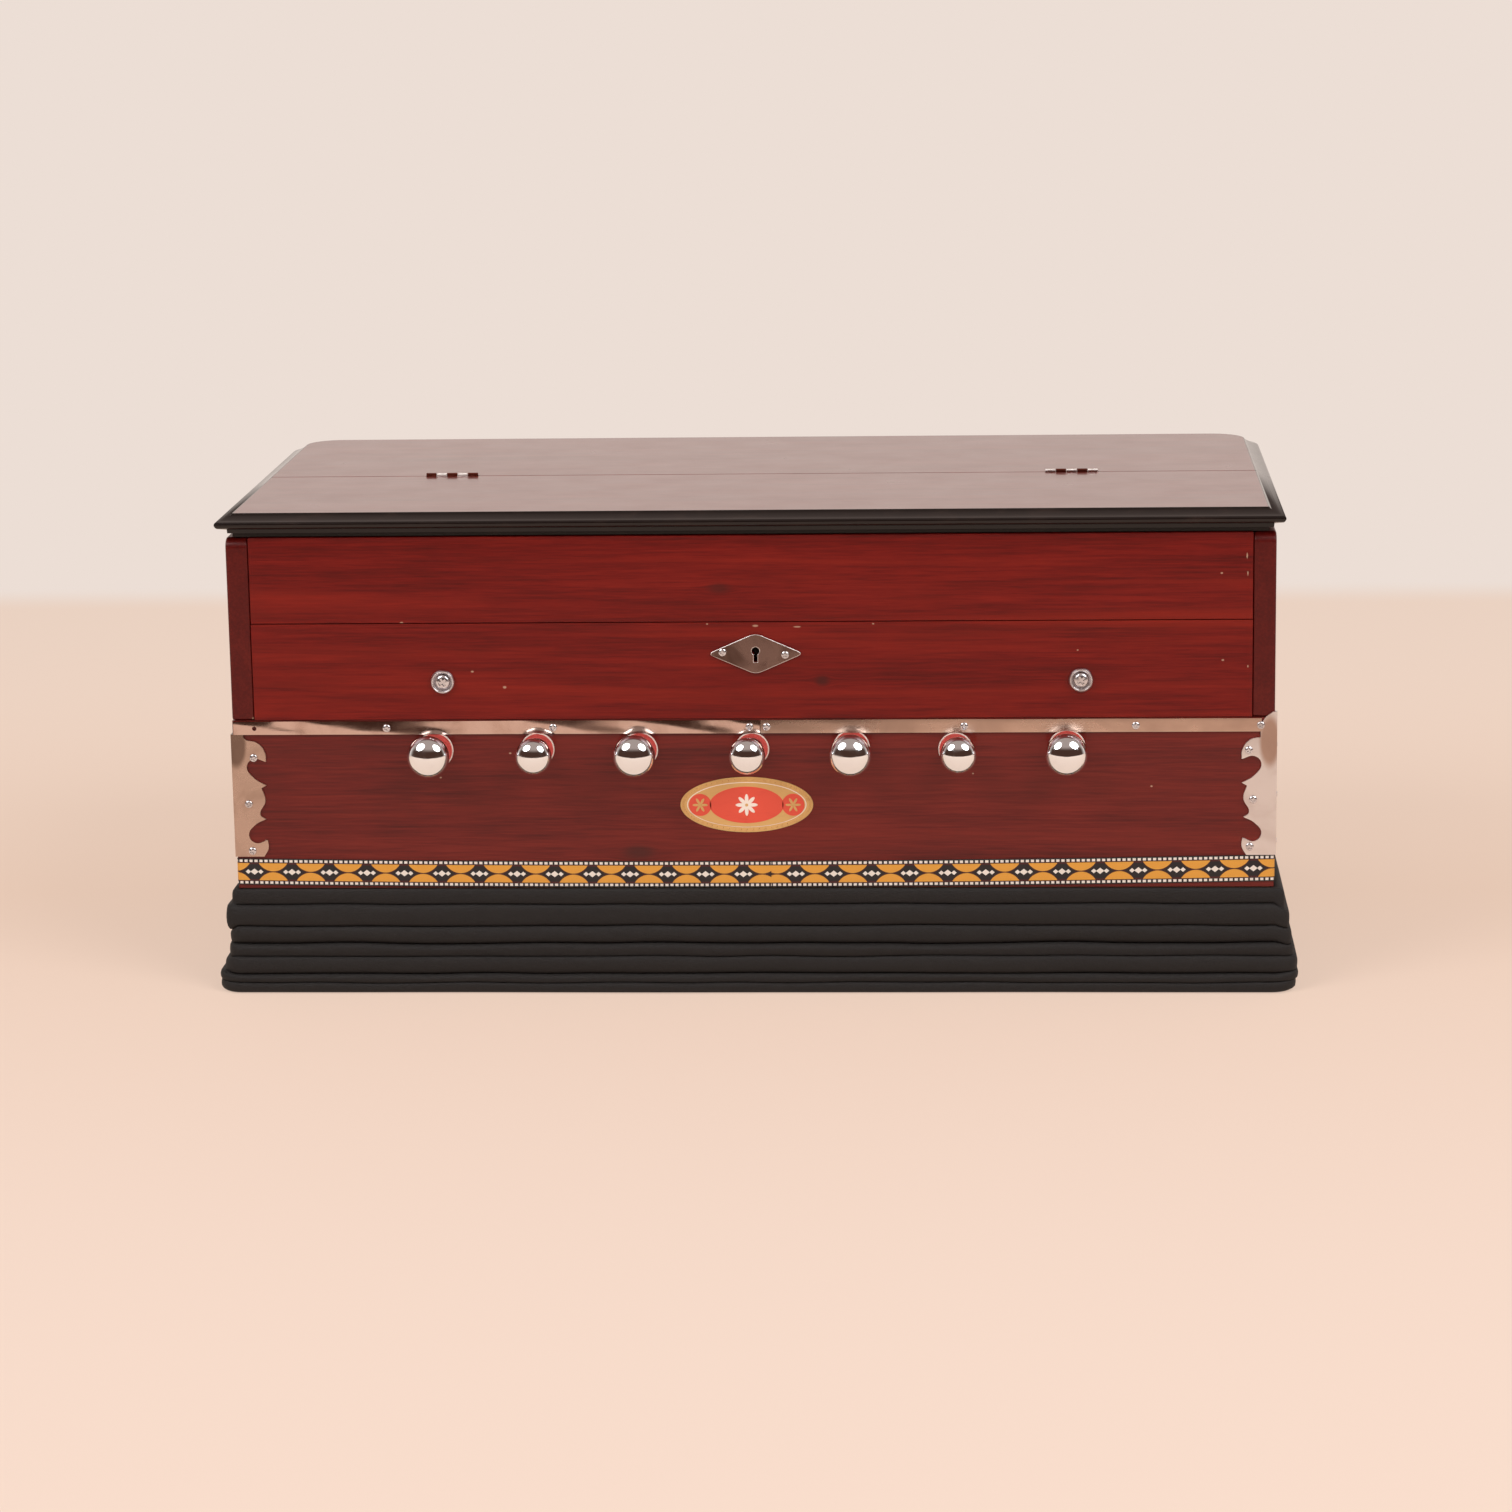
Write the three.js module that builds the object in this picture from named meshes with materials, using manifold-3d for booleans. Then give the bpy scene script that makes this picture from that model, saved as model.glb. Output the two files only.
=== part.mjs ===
// A hand-pumped Indian harmonium with its lid closed, built up from its boards, keys, stops,
// metal fittings and bellows. Millimetres, +Z up, +X to the player's right, player at -Y.
// The origin lies on the table, under the centre of the base board.

import * as THREE from 'three';
import { mergeVertices } from 'three/addons/utils/BufferGeometryUtils.js';
import Module from 'manifold-3d';

const wasm = await Module();
wasm.setup();

// Clearances that every seat, bore and sliding fit shares.
const gap = 0.3;
const overrun = 4;
const weldDistance = 0.001;

// Cabinet boards.
const bodyWidth = 610;
const bodyDepth = 305;
const boardThickness = 13;
const cheekRounding = 6;
const frontBoardHeight = 101.2;
const slipHeight = 57;
const apronHeight = 50.8;
const panelSeam = 0.4;
const floorThickness = 10;
const windPassageLength = 200;
const windPassageWidth = 60;
const windSlotCount = 3;
const windSlotLength = 60;
const windSlotHeight = 16;
const windSlotSpacing = 90;

// Base with its folded leathercloth wall.
const bandHeight = 61.5;
const bandBulge = 14;
const bandCornerRun = 26;
const bandCornerShare = 0.25;
const bandLift = 0.6;
const baseInset = 2;
const baseBoardThickness = 8;
const baseRailThickness = 12;
// Height and bulge of each fold line, as shares of the band's height and greatest bulge.
const bandFoldShares = [
  [0, 0.62],
  [0.05, 0.95],
  [0.11, 1],
  [0.18, 0.64],
  [0.275, 0.8],
  [0.35, 0.5],
  [0.405, 0.6],
  [0.465, 0.18],
  [0.555, 0.57],
  [0.635, 0.2],
  [0.745, 0.57],
  [0.845, 0.07],
  [0.945, 0.05],
  [1, 0],
];

// Wind reservoir inside the base.
const reservoirEndClearance = 31;
const reservoirSideClearance = 20.5;
const reservoirBoardThickness = 10;
const springPlaceShare = 0.6;
const springRadius = 14;
const springWireRadius = 1.1;
const springTurns = 4;
const springStepsPerTurn = 8;
const springSides = 5;

// Lid in two halves, hinged at the crease.
const lidThickness = 14;
const lidSideOverhang = 5;
const lidFrontOverhang = 6;
const lidMouldWidth = 9.4;
const lidRearCornerRadius = 30;
const lidCornerSteps = 7;
const creaseFromFront = 142.5;
const creaseWidth = 0.4;
const innerRailThickness = 9;
const innerRailClearance = 3;
// Inset and height of each line of the moulded edge, as shares of its width and the lid's thickness.
const lidMouldShares = [
  [0.74, 0],
  [0.7, 0.14],
  [0.5, 0.3],
  [0.2, 0.4],
  [0.05, 0.48],
  [0, 0.56],
  [0.06, 0.64],
  [0.2, 0.71],
  [0.55, 0.86],
  [1, 1],
];

// Butt hinges of the lid.
const hingeLength = 32;
const hingeKnuckles = 5;
const hingeKnuckleRadius = 2.4;
const hingePinRadius = 0.9;
const hingeLeafThickness = 1.2;
const hingeLeafHeight = 10;
const hingeAxisRise = 1;
const hingeSegments = 16;
// Places of the hinges' middles, as shares of half the body's width.
const hingePlaceShares = { left: -0.619, right: 0.613 };

// Lock, its escutcheon and strike.
const lockPlaceShare = 0.0128;
const escutcheonDrop = 18.4;
const escutcheonWidth = 52.8;
const escutcheonHeight = 23;
const escutcheonTipShare = 0.13;
const sheetThickness = 1.2;
const keyholeRadius = 2.3;
const keyholeSlotWidth = 2.2;
const keyholeSlotDepth = 6.6;
const keyholeRise = 1.6;
const keyholeSteps = 12;
const lockCaseWidth = 50;
const lockCaseHeight = 24;
const lockCaseThickness = 6.2;
const lockCaseDrop = 6;
const boltWidth = 16;
const boltThickness = 3;
const boltLength = 20;
const boltThrow = 6;
const boltRest = 0.5;
const strikeWidth = 40;
const strikeThickness = 1.5;
const strikeDepth = 9;

// Cup washers with screws that hold the slip panel.
const studRadius = 7.25;
const studHeight = 3;
const studDrop = 34.6;
const studSegments = 20;
// Places of the studs, as shares of half the body's width.
const studPlaceShares = { left: -0.589, right: 0.632 };
// Radius and height of each line of the cup and its screw head, as shares of the stud's own.
const studShares = [
  [1, 0],
  [1, 0.25],
  [0.9, 0.82],
  [0.76, 0.8],
  [0.56, 0.4],
  [0.48, 0.44],
  [0.42, 0.88],
  [0, 1],
];

// Bright trim on the front board.
const stripHeight = 8.3;
const stripJoinShare = 0.0193;
const stripEndInset = 0.6;
const stripCrownShare = 0.45;
const bracketHeight = 66;
const bracketReach = 18.9;
const bracketDrop = 14.3;
const bracketTabWidth = 9;
const bracketTabRise = 11.5;
const bracketCurveSteps = 4;
// Half of the scrolled edge, from its middle to its end: reach and height as shares of the
// bracket's reach and half height. Each list is one smooth stretch between two points.
const bracketScrollShares = [
  [
    [0.93, 0],
    [0.9, 0.15],
    [0.75, 0.28],
  ],
  [
    [0.75, 0.28],
    [0.92, 0.37],
  ],
  [
    [0.92, 0.37],
    [0.6, 0.45],
    [0.38, 0.58],
    [0.44, 0.7],
    [0.68, 0.72],
    [0.96, 0.63],
  ],
  [
    [0.96, 0.63],
    [1, 0.8],
    [0.87, 0.94],
    [0.63, 1],
    [0.33, 1],
    [0.16, 0.88],
  ],
];

// Stop knobs. Places are shares of half the body's width.
const stopPlaceShares = [-0.615, -0.413, -0.22, -0.004, 0.193, 0.399, 0.604];
const stopDrop = 18.8;
const stopBallRadii = { large: 11, small: 9.25 };
const stopBallStandOff = 16;
const stopNeckRadius = 4;
const stopNeckStart = 2.6;
const stopRodRadius = 3;
const stopRodLength = 58;
const stopPadRadius = 7;
const stopPadThickness = 3;
const stopBallSteps = 8;
const stopSegments = 16;

// Keyboard of three and a half octaves. Behind the broad fronts each key has a lane of its own.
const keyCount = 42;
const whiteKeyCount = 25;
const endBlockWidth = 21.2;
const octaveKeys = 12;
const whiteSteps = [0, 2, 4, 5, 7, 9, 11];
const stepNames = ['c', 'c_sharp', 'd', 'd_sharp', 'e', 'f', 'f_sharp', 'g', 'g_sharp', 'a', 'a_sharp', 'b'];
const playingOctave = 1;
const keySpacing = 0.5;
const keyFrontClearance = 1.5;
const keyHeadLength = 45;
const keyThickness = 10;
const keyRise = 4;
const keyDip = 6;
const keyTailClearance = 21.5;
const blackKeyRise = 11;
const blackKeyBackClearance = 4.5;
const blackKeySlope = 6;
const blackKeyTaper = 1;
const blackKeyRelief = 2;
const balanceBehindCrease = 10;
const balanceRailWidth = 10;
const balanceSaddle = 0.2;
const palletLength = 52;
const palletSideClearance = 1.25;
const palletInset = 6;
const palletHeight = 8.2;
const keyBedThickness = 10;
const keyBedDrop = 18.5;
const keyBedBehindBalance = 12;
const keyRestRailWidth = 15;
const keyRestRailInset = 6;
const reedBoardThickness = 14;
const reedSlotSideCover = 1.8;
const reedSlotEndCover = 6;

// Rear pump.
const pumpDepth = 31.5;
const pumpBoardThickness = 12;
const pumpHeadroom = 9.7;
const pumpBoardRounding = 18;
const pumpRailHeight = 16;
const pumpRailInset = 15;
const pumpFoldInset = 20;
const pumpFoldRise = 2;
const pumpFoldHeadroom = 6;
const pumpPleats = 4;
const pumpPleatDepth = 9;
const pumpPleatCornerShare = 0.3;
const pumpPleatCornerRun = 14;
const pumpClothThickness = 2;
const pumpHingeThickness = 1.4;
const pumpHingeOnRail = 22;
const pumpHingeOnBoard = 10;
const airHoleRadius = 8;
const airHoleSpacing = 34;
const airHoleRows = 2;
const airHoleColumns = 4;
const airHolePlace = 94;
const airHoleSegments = 12;
const flapMargin = 10;
const flapThickness = 1.4;

// Side hooks that hold the pump shut.
const latchLength = 51;
const latchWidth = 12;
const latchThickness = 1.5;
const latchDrop = 24;
const latchNotchWidth = 6.4;
const latchNotchDepth = 9;
const latchTail = 9;
const latchBossRadius = 4;
const latchBossHeight = 1.6;
const latchStudRadius = 2.5;
const latchStudHeadRadius = 4;
const latchStudHeadThickness = 1.6;
const latchSegments = 14;

// Levels and faces that follow from the sizes above.
const halfWidth = bodyWidth / 2;
const halfDepth = bodyDepth / 2;
const innerHalfWidth = halfWidth - boardThickness - gap;
const frontFace = -halfDepth;
const frontInner = frontFace + boardThickness;
const backInner = halfDepth - boardThickness;
const cabinetBottom = bandHeight + gap;
const frontBoardTop = cabinetBottom + frontBoardHeight;
const slipBottom = frontBoardTop + gap;
const slipTop = slipBottom + slipHeight;
const apronBottom = slipTop + panelSeam;
const cabinetTop = apronBottom + apronHeight;
const lidBottom = cabinetTop + gap;
const lidTop = lidBottom + lidThickness;
const creaseY = frontFace + creaseFromFront;
const hingeAxisZ = lidTop + hingeAxisRise;
const keyTop = slipTop + keyRise;
const keyUnder = keyTop - keyThickness;
const keyFront = frontInner + keyFrontClearance;
const keyboardLeft = -innerHalfWidth + endBlockWidth + keySpacing;
const whiteKeyPitch = (-2 * keyboardLeft) / whiteKeyCount;
const lanePitch = (whiteKeyPitch * whiteSteps.length) / octaveKeys;
const balancePlace = creaseY + balanceBehindCrease;
const keyTailEnd = backInner - keyTailClearance;
const blackKeyTop = keyTop + blackKeyRise;
const innerRailBottom = blackKeyTop + innerRailClearance;
const reedBoardTop = keyUnder - palletHeight - gap;
const pumpInner = halfDepth + pumpDepth;
const pumpBoardTop = cabinetTop - pumpHeadroom;
const lockPlace = lockPlaceShare * halfWidth;
const baseHalfWidth = halfWidth - baseInset;
const baseHalfDepth = halfDepth - baseInset;
const baseWellHalfWidth = baseHalfWidth - baseRailThickness;
const baseWellHalfDepth = baseHalfDepth - baseRailThickness;
const metalFront = frontFace - gap;

const materials = {
  redWood: { color: 0x5f1a15, roughness: 0.35, metalness: 0 },
  lidWood: { color: 0x5a1a17, roughness: 0.25, metalness: 0 },
  paleWood: { color: 0xb98a5a, roughness: 0.6, metalness: 0 },
  chrome: { color: 0xd8d2cc, roughness: 0.15, metalness: 1 },
  brass: { color: 0xb08d57, roughness: 0.3, metalness: 1 },
  steel: { color: 0x8d8a86, roughness: 0.4, metalness: 1 },
  blackCloth: { color: 0x1b1815, roughness: 0.6, metalness: 0 },
  leather: { color: 0x7a5a3a, roughness: 0.7, metalness: 0 },
  ivory: { color: 0xefe8d8, roughness: 0.3, metalness: 0 },
  ebony: { color: 0x17130f, roughness: 0.3, metalness: 0 },
};

const harmonium = new THREE.Group();

/** Adds one named piece with a material of its own. */
function piece(name, geometry, material) {
  const mesh = new THREE.Mesh(geometry, new THREE.MeshStandardMaterial(materials[material]));
  mesh.name = name;
  harmonium.add(mesh);
}

/** A rectangular block between two values along each axis. */
function block([x0, x1], [y0, y1], [z0, z1]) {
  const geometry = new THREE.BoxGeometry(x1 - x0, y1 - y0, z1 - z0);
  geometry.translate((x0 + x1) / 2, (y0 + y1) / 2, (z0 + z1) / 2);
  return geometry;
}

/** A closed solid for joining and cutting, its shared corners welded. */
function toSolid(geometry) {
  const bare = geometry.clone();
  bare.deleteAttribute('normal');
  bare.deleteAttribute('uv');
  const welded = mergeVertices(bare, weldDistance);
  const vertProperties = new Float32Array(welded.attributes.position.array);
  const triVerts = new Uint32Array(welded.index.array);
  return new wasm.Manifold(new wasm.Mesh({ numProp: 3, vertProperties, triVerts }));
}

/** The geometry of a joined or cut solid. */
function toGeometry(solid) {
  const mesh = solid.getMesh();
  const geometry = new THREE.BufferGeometry();
  geometry.setAttribute('position', new THREE.BufferAttribute(new Float32Array(mesh.vertProperties), 3));
  geometry.setIndex(new THREE.BufferAttribute(new Uint32Array(mesh.triVerts), 1));
  geometry.computeVertexNormals();
  return geometry;
}

/** Several geometries joined into one. */
function joined(geometries) {
  const solids = geometries.map(toSolid);
  return toGeometry(solids.reduce((sum, next) => sum.add(next)));
}

/** A geometry with others cut out of it. */
function cut(geometry, tools) {
  const solid = tools.map(toSolid).reduce((rest, tool) => rest.subtract(tool), toSolid(geometry));
  return toGeometry(solid);
}

/** A geometry whose faces point out, whichever way they were wound. */
function outward(geometry) {
  const index = geometry.index.array;
  const place = geometry.attributes.position;
  const corners = [new THREE.Vector3(), new THREE.Vector3(), new THREE.Vector3()];
  let volume = 0;
  for (let face = 0; face < index.length; face += 3) {
    corners.forEach((corner, n) => corner.fromBufferAttribute(place, index[face + n]));
    volume += corners[0].dot(corners[1].clone().cross(corners[2]));
  }
  if (volume < 0) {
    for (let face = 0; face < index.length; face += 3) {
      const second = index[face + 1];
      index[face + 1] = index[face + 2];
      index[face + 2] = second;
    }
  }
  geometry.computeVertexNormals();
  return geometry;
}

/** A surface over loops of equally many points, capped at both ends or closed on itself. */
function skin(loops, closed) {
  const count = loops[0].length;
  const index = [];
  const steps = closed ? loops.length : loops.length - 1;
  for (let level = 0; level < steps; level += 1) {
    const above = (level + 1) % loops.length;
    for (let n = 0; n < count; n += 1) {
      const next = (n + 1) % count;
      const corners = [level * count + n, level * count + next, above * count + next, above * count + n];
      index.push(corners[0], corners[1], corners[2], corners[0], corners[2], corners[3]);
    }
  }
  if (!closed) {
    const last = (loops.length - 1) * count;
    for (let n = 1; n < count - 1; n += 1) {
      index.push(0, n + 1, n);
      index.push(last, last + n, last + n + 1);
    }
  }
  const geometry = new THREE.BufferGeometry();
  geometry.setAttribute('position', new THREE.Float32BufferAttribute(loops.flat(2), 3));
  geometry.setIndex(index);
  return outward(geometry);
}

const axisX = new THREE.Vector3(1, 0, 0);
const axisY = new THREE.Vector3(0, 1, 0);
const axisZ = new THREE.Vector3(0, 0, 1);

/** A closed shape through a list of points. */
function shapeOf(points) {
  return new THREE.Shape(points.map(([a, b]) => new THREE.Vector2(a, b)));
}

/** A shape drawn in X and Z, given its thickness along Y. */
function plateAcrossY(shape, [y0, y1], curveSegments) {
  const geometry = new THREE.ExtrudeGeometry(shape, { depth: y1 - y0, bevelEnabled: false, curveSegments });
  geometry.applyMatrix4(new THREE.Matrix4().makeBasis(axisX, axisZ, axisY.clone().negate()));
  geometry.translate(0, y1, 0);
  return geometry;
}

/** A shape drawn in Y and Z, given its thickness along X. */
function plateAcrossX(shape, [x0, x1], curveSegments) {
  const geometry = new THREE.ExtrudeGeometry(shape, { depth: x1 - x0, bevelEnabled: false, curveSegments });
  geometry.applyMatrix4(new THREE.Matrix4().makeBasis(axisY, axisZ, axisX));
  geometry.translate(x0, 0, 0);
  return geometry;
}

/** A shape drawn in X and Y, given its thickness along Z. */
function plateAcrossZ(shape, [z0, z1]) {
  const geometry = new THREE.ExtrudeGeometry(shape, { depth: z1 - z0, bevelEnabled: false });
  geometry.translate(0, 0, z0);
  return geometry;
}

/** A round bar along X. */
function barAlongX(radius, [x0, x1], y, z, segments) {
  const geometry = new THREE.CylinderGeometry(radius, radius, x1 - x0, segments);
  geometry.rotateZ(Math.PI / 2);
  geometry.translate((x0 + x1) / 2, y, z);
  return geometry;
}

/** A turned piece about a line along Y, from radii and places that start and end on the line. */
function turned(profile, segments, x, z) {
  const points = profile.map(([radius, y]) => new THREE.Vector2(radius, y));
  const geometry = new THREE.LatheGeometry(points, segments);
  geometry.deleteAttribute('normal');
  geometry.deleteAttribute('uv');
  const closed = mergeVertices(geometry, weldDistance);
  closed.translate(x, 0, z);
  return toGeometry(toSolid(outward(closed)));
}

/** One fold line round a rectangle: its corners are drawn in, its sides stand out. */
function foldLoop(halfX, halfY, run, side, corner, level) {
  return [
    [-halfX - corner, -halfY - corner, level],
    [-halfX + run, -halfY - side, level],
    [halfX - run, -halfY - side, level],
    [halfX + corner, -halfY - corner, level],
    [halfX + side, -halfY + run, level],
    [halfX + side, halfY - run, level],
    [halfX + corner, halfY + corner, level],
    [halfX - run, halfY + side, level],
    [-halfX + run, halfY + side, level],
    [-halfX - corner, halfY + corner, level],
    [-halfX - side, halfY - run, level],
    [-halfX - side, -halfY + run, level],
  ];
}

/** Base board, the rail frame on it that carries the cabinet, and the folded cloth wall round both. */
function makeBase() {
  const wide = [-baseHalfWidth, baseHalfWidth];
  const deep = [-baseHalfDepth, baseHalfDepth];
  piece('base_board', block(wide, deep, [0, baseBoardThickness]), 'paleWood');

  const frameLevels = [baseBoardThickness + gap, bandHeight];
  const cutLevels = [frameLevels[0] - overrun, frameLevels[1] + overrun];
  const wellX = [-baseWellHalfWidth, baseWellHalfWidth];
  const wellY = [-baseWellHalfDepth, baseWellHalfDepth];
  const well = block(wellX, wellY, cutLevels);
  piece('base_frame', cut(block(wide, deep, frameLevels), [well]), 'paleWood');

  const inner = gap - baseInset;
  const loops = bandFoldShares.map(([heightShare, bulgeShare]) => {
    const level = bandLift + heightShare * (bandHeight - bandLift);
    const bulge = bulgeShare * bandBulge;
    return foldLoop(halfWidth, halfDepth, bandCornerRun, bulge, bulge * bandCornerShare, level);
  });
  loops.push(foldLoop(halfWidth, halfDepth, bandCornerRun, inner, inner, bandHeight));
  loops.push(foldLoop(halfWidth, halfDepth, bandCornerRun, inner, inner, bandLift));
  piece('base_folds', skin(loops, true), 'blackCloth');
}

/** A coil spring standing at one place along X. */
class CoilPath extends THREE.Curve {
  constructor(x, bottom, top) {
    super();
    this.x = x;
    this.bottom = bottom;
    this.top = top;
  }

  getPoint(share, target = new THREE.Vector3()) {
    const angle = share * springTurns * 2 * Math.PI;
    const height = this.bottom + share * (this.top - this.bottom);
    return target.set(this.x + springRadius * Math.cos(angle), springRadius * Math.sin(angle), height);
  }
}

/** The board that the wind presses down, and the two springs under it. */
function makeReservoir() {
  const top = cabinetBottom - gap;
  const bottom = top - reservoirBoardThickness;
  const halfLong = baseWellHalfWidth - reservoirEndClearance;
  const halfWide = baseWellHalfDepth - reservoirSideClearance;
  piece('reservoir_board', block([-halfLong, halfLong], [-halfWide, halfWide], [bottom, top]), 'paleWood');

  const wire = new THREE.Shape();
  wire.absarc(0, 0, springWireRadius, 0, 2 * Math.PI);
  const seat = springWireRadius + gap;
  for (const [side, sign] of Object.entries({ left: -1, right: 1 })) {
    const x = sign * springPlaceShare * halfLong;
    const path = new CoilPath(x, baseBoardThickness + seat, bottom - seat);
    const options = {
      steps: springTurns * springStepsPerTurn,
      curveSegments: Math.ceil(springSides / 2),
      bevelEnabled: false,
      extrudePath: path,
    };
    piece(`reservoir_spring_${side}`, new THREE.ExtrudeGeometry(wire, options), 'steel');
  }
}

/** Side board: its front edge steps back below, where the front board covers it. */
function makeSideBoard(side, sign) {
  const outline = new THREE.Shape();
  const stepY = frontInner + gap;
  const stepZ = frontBoardTop + gap;
  const round = cheekRounding;
  outline.moveTo(stepY, cabinetBottom);
  outline.lineTo(halfDepth, cabinetBottom);
  outline.lineTo(halfDepth, cabinetTop);
  outline.lineTo(frontFace + round, cabinetTop);
  outline.absarc(frontFace + round, cabinetTop - round, round, Math.PI / 2, Math.PI, false);
  outline.lineTo(frontFace, stepZ);
  outline.lineTo(stepY, stepZ);
  const faces = [sign * halfWidth, sign * (halfWidth - boardThickness)].sort((a, b) => a - b);
  piece(`side_board_${side}`, plateAcrossX(outline, faces, cheekRounding), 'redWood');
}

/** Rows of intake holes, as circles in a shape drawn in X and Z. */
function addAirHoles(shape) {
  for (let row = 0; row < airHoleRows; row += 1) {
    for (let column = 0; column < airHoleColumns; column += 1) {
      const x = (column - (airHoleColumns - 1) / 2) * airHoleSpacing;
      const z = cabinetBottom + airHolePlace + (row - (airHoleRows - 1) / 2) * airHoleSpacing;
      const hole = new THREE.Path();
      hole.absarc(x, z, airHoleRadius, 0, 2 * Math.PI);
      shape.holes.push(hole);
    }
  }
}

/** Front board with the holes for the stop rods. */
function makeFrontBoard() {
  const shape = shapeOf([
    [-halfWidth, cabinetBottom],
    [halfWidth, cabinetBottom],
    [halfWidth, frontBoardTop],
    [-halfWidth, frontBoardTop],
  ]);
  for (const share of stopPlaceShares) {
    const hole = new THREE.Path();
    hole.absarc(share * halfWidth, frontBoardTop - stopDrop, stopRodRadius + gap, 0, 2 * Math.PI);
    shape.holes.push(hole);
  }
  piece('front_board', plateAcrossY(shape, [frontFace, frontInner], stopSegments / 2), 'redWood');
}

/** Floor with its wind passage, back board with the slots that the pump blows through, and the sides. */
function makeCabinet() {
  makeSideBoard('left', -1);
  makeSideBoard('right', 1);
  makeFrontBoard();

  const insideX = [-innerHalfWidth, innerHalfWidth];
  const insideY = [frontInner + gap, backInner - gap];
  const floorLevels = [cabinetBottom, cabinetBottom + floorThickness];
  const passage = block(
    [-windPassageLength / 2, windPassageLength / 2],
    [-windPassageWidth / 2, windPassageWidth / 2],
    [floorLevels[0] - overrun, floorLevels[1] + overrun],
  );
  piece('cabinet_floor', cut(block(insideX, insideY, floorLevels), [passage]), 'paleWood');

  const slotMiddle = cabinetBottom + airHolePlace;
  const slotLevels = [slotMiddle - windSlotHeight / 2, slotMiddle + windSlotHeight / 2];
  const slots = [];
  for (let n = 0; n < windSlotCount; n += 1) {
    const x = (n - (windSlotCount - 1) / 2) * windSlotSpacing;
    const slotX = [x - windSlotLength / 2, x + windSlotLength / 2];
    slots.push(block(slotX, [backInner - overrun, halfDepth + overrun], slotLevels));
  }
  const back = block(insideX, [backInner, halfDepth], [cabinetBottom, cabinetTop]);
  piece('back_board', cut(back, slots), 'redWood');
}

/** Lid outline drawn in by an inset: square front corners, round rear corners. */
function lidLoop(inset, level) {
  const halfX = halfWidth + lidSideOverhang - inset;
  const halfY = halfDepth + lidFrontOverhang - inset;
  const radius = lidRearCornerRadius - inset;
  const loop = [
    [-halfX, -halfY, level],
    [halfX, -halfY, level],
  ];
  for (let step = 0; step <= 2 * lidCornerSteps + 1; step += 1) {
    const onLeft = step > lidCornerSteps;
    const angle = ((step - (onLeft ? 1 : 0)) / lidCornerSteps) * (Math.PI / 2);
    const centreX = (onLeft ? -1 : 1) * (halfX - radius);
    loop.push([centreX + radius * Math.cos(angle), halfY - radius + radius * Math.sin(angle), level]);
  }
  return loop;
}

/** The room that a hinge takes in a lid half: a pocket for its leaf and a groove for its knuckles. */
function hingeRoom(centreX, sign) {
  const halfLength = hingeLength / 2 + gap;
  const span = [centreX - halfLength, centreX + halfLength];
  const leafFace = creaseY + sign * (creaseWidth / 2 + hingeLeafThickness + gap);
  const across = [creaseY, leafFace].sort((a, b) => a - b);
  const levels = [lidTop - hingeLeafHeight - gap, lidTop + overrun];
  const groove = barAlongX(hingeKnuckleRadius + gap, span, creaseY, hingeAxisZ, hingeSegments);
  return [block(span, across, levels), groove];
}

/** Both lid halves, cut at the crease from one moulded board. */
function makeLid() {
  const whole = skin(
    lidMouldShares.map(([insetShare, heightShare]) =>
      lidLoop(insetShare * lidMouldWidth, lidBottom + heightShare * lidThickness),
    ),
    false,
  );
  const beyondX = halfWidth + lidSideOverhang + overrun;
  const beyondY = halfDepth + lidFrontOverhang + overrun;
  const wide = [-beyondX, beyondX];
  const levels = [lidBottom - overrun, lidTop + overrun];
  const rearOfCrease = block(wide, [creaseY - creaseWidth / 2, beyondY], levels);
  const frontOfCrease = block(wide, [-beyondY, creaseY + creaseWidth / 2], levels);
  const places = Object.values(hingePlaceShares).map((share) => share * halfWidth);

  const frontRooms = places.flatMap((x) => hingeRoom(x, -1));
  piece('lid_front', cut(whole, [rearOfCrease, ...frontRooms]), 'lidWood');

  const rearRooms = places.flatMap((x) => hingeRoom(x, 1));
  const rear = cut(whole, [frontOfCrease, ...rearRooms]);
  const railFront = creaseY + creaseWidth / 2;
  const rail = block(
    [-innerHalfWidth, innerHalfWidth],
    [railFront, railFront + innerRailThickness],
    [innerRailBottom, lidBottom + weldDistance],
  );
  piece('lid_rear', joined([rear, rail]), 'lidWood');
}

/** One leaf of a lid hinge with its share of the knuckles; the fixed leaf also has the pin. */
function makeHingeLeaf(name, centreX, sign, firstKnuckle) {
  const start = centreX - hingeLength / 2;
  const pitch = hingeLength / hingeKnuckles;
  const nearFace = creaseY + (sign * creaseWidth) / 2;
  const across = [nearFace, nearFace + sign * hingeLeafThickness].sort((a, b) => a - b);
  const plateTop = hingeAxisZ - hingeKnuckleRadius - gap;
  const parts = [block([start, start + hingeLength], across, [lidTop - hingeLeafHeight, plateTop])];
  for (let n = firstKnuckle; n < hingeKnuckles; n += 2) {
    const span = [start + n * pitch + gap / 2, start + (n + 1) * pitch - gap / 2];
    parts.push(barAlongX(hingeKnuckleRadius, span, creaseY, hingeAxisZ, hingeSegments));
    parts.push(block(span, across, [plateTop - hingeLeafThickness, hingeAxisZ - hingePinRadius - gap]));
  }
  const pinSpan = [start + gap, start + hingeLength - gap];
  if (firstKnuckle === 0) {
    parts.push(barAlongX(hingePinRadius, pinSpan, creaseY, hingeAxisZ, hingeSegments));
    piece(name, joined(parts), 'chrome');
    return;
  }
  const bore = barAlongX(hingePinRadius + gap, pinSpan, creaseY, hingeAxisZ, hingeSegments);
  piece(name, cut(joined(parts), [bore]), 'chrome');
}

/** The two butt hinges. */
function makeLidHinges() {
  for (const [side, share] of Object.entries(hingePlaceShares)) {
    const x = share * halfWidth;
    makeHingeLeaf(`hinge_${side}_fixed`, x, 1, 0);
    makeHingeLeaf(`hinge_${side}_moving`, x, -1, 1);
  }
}

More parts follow.
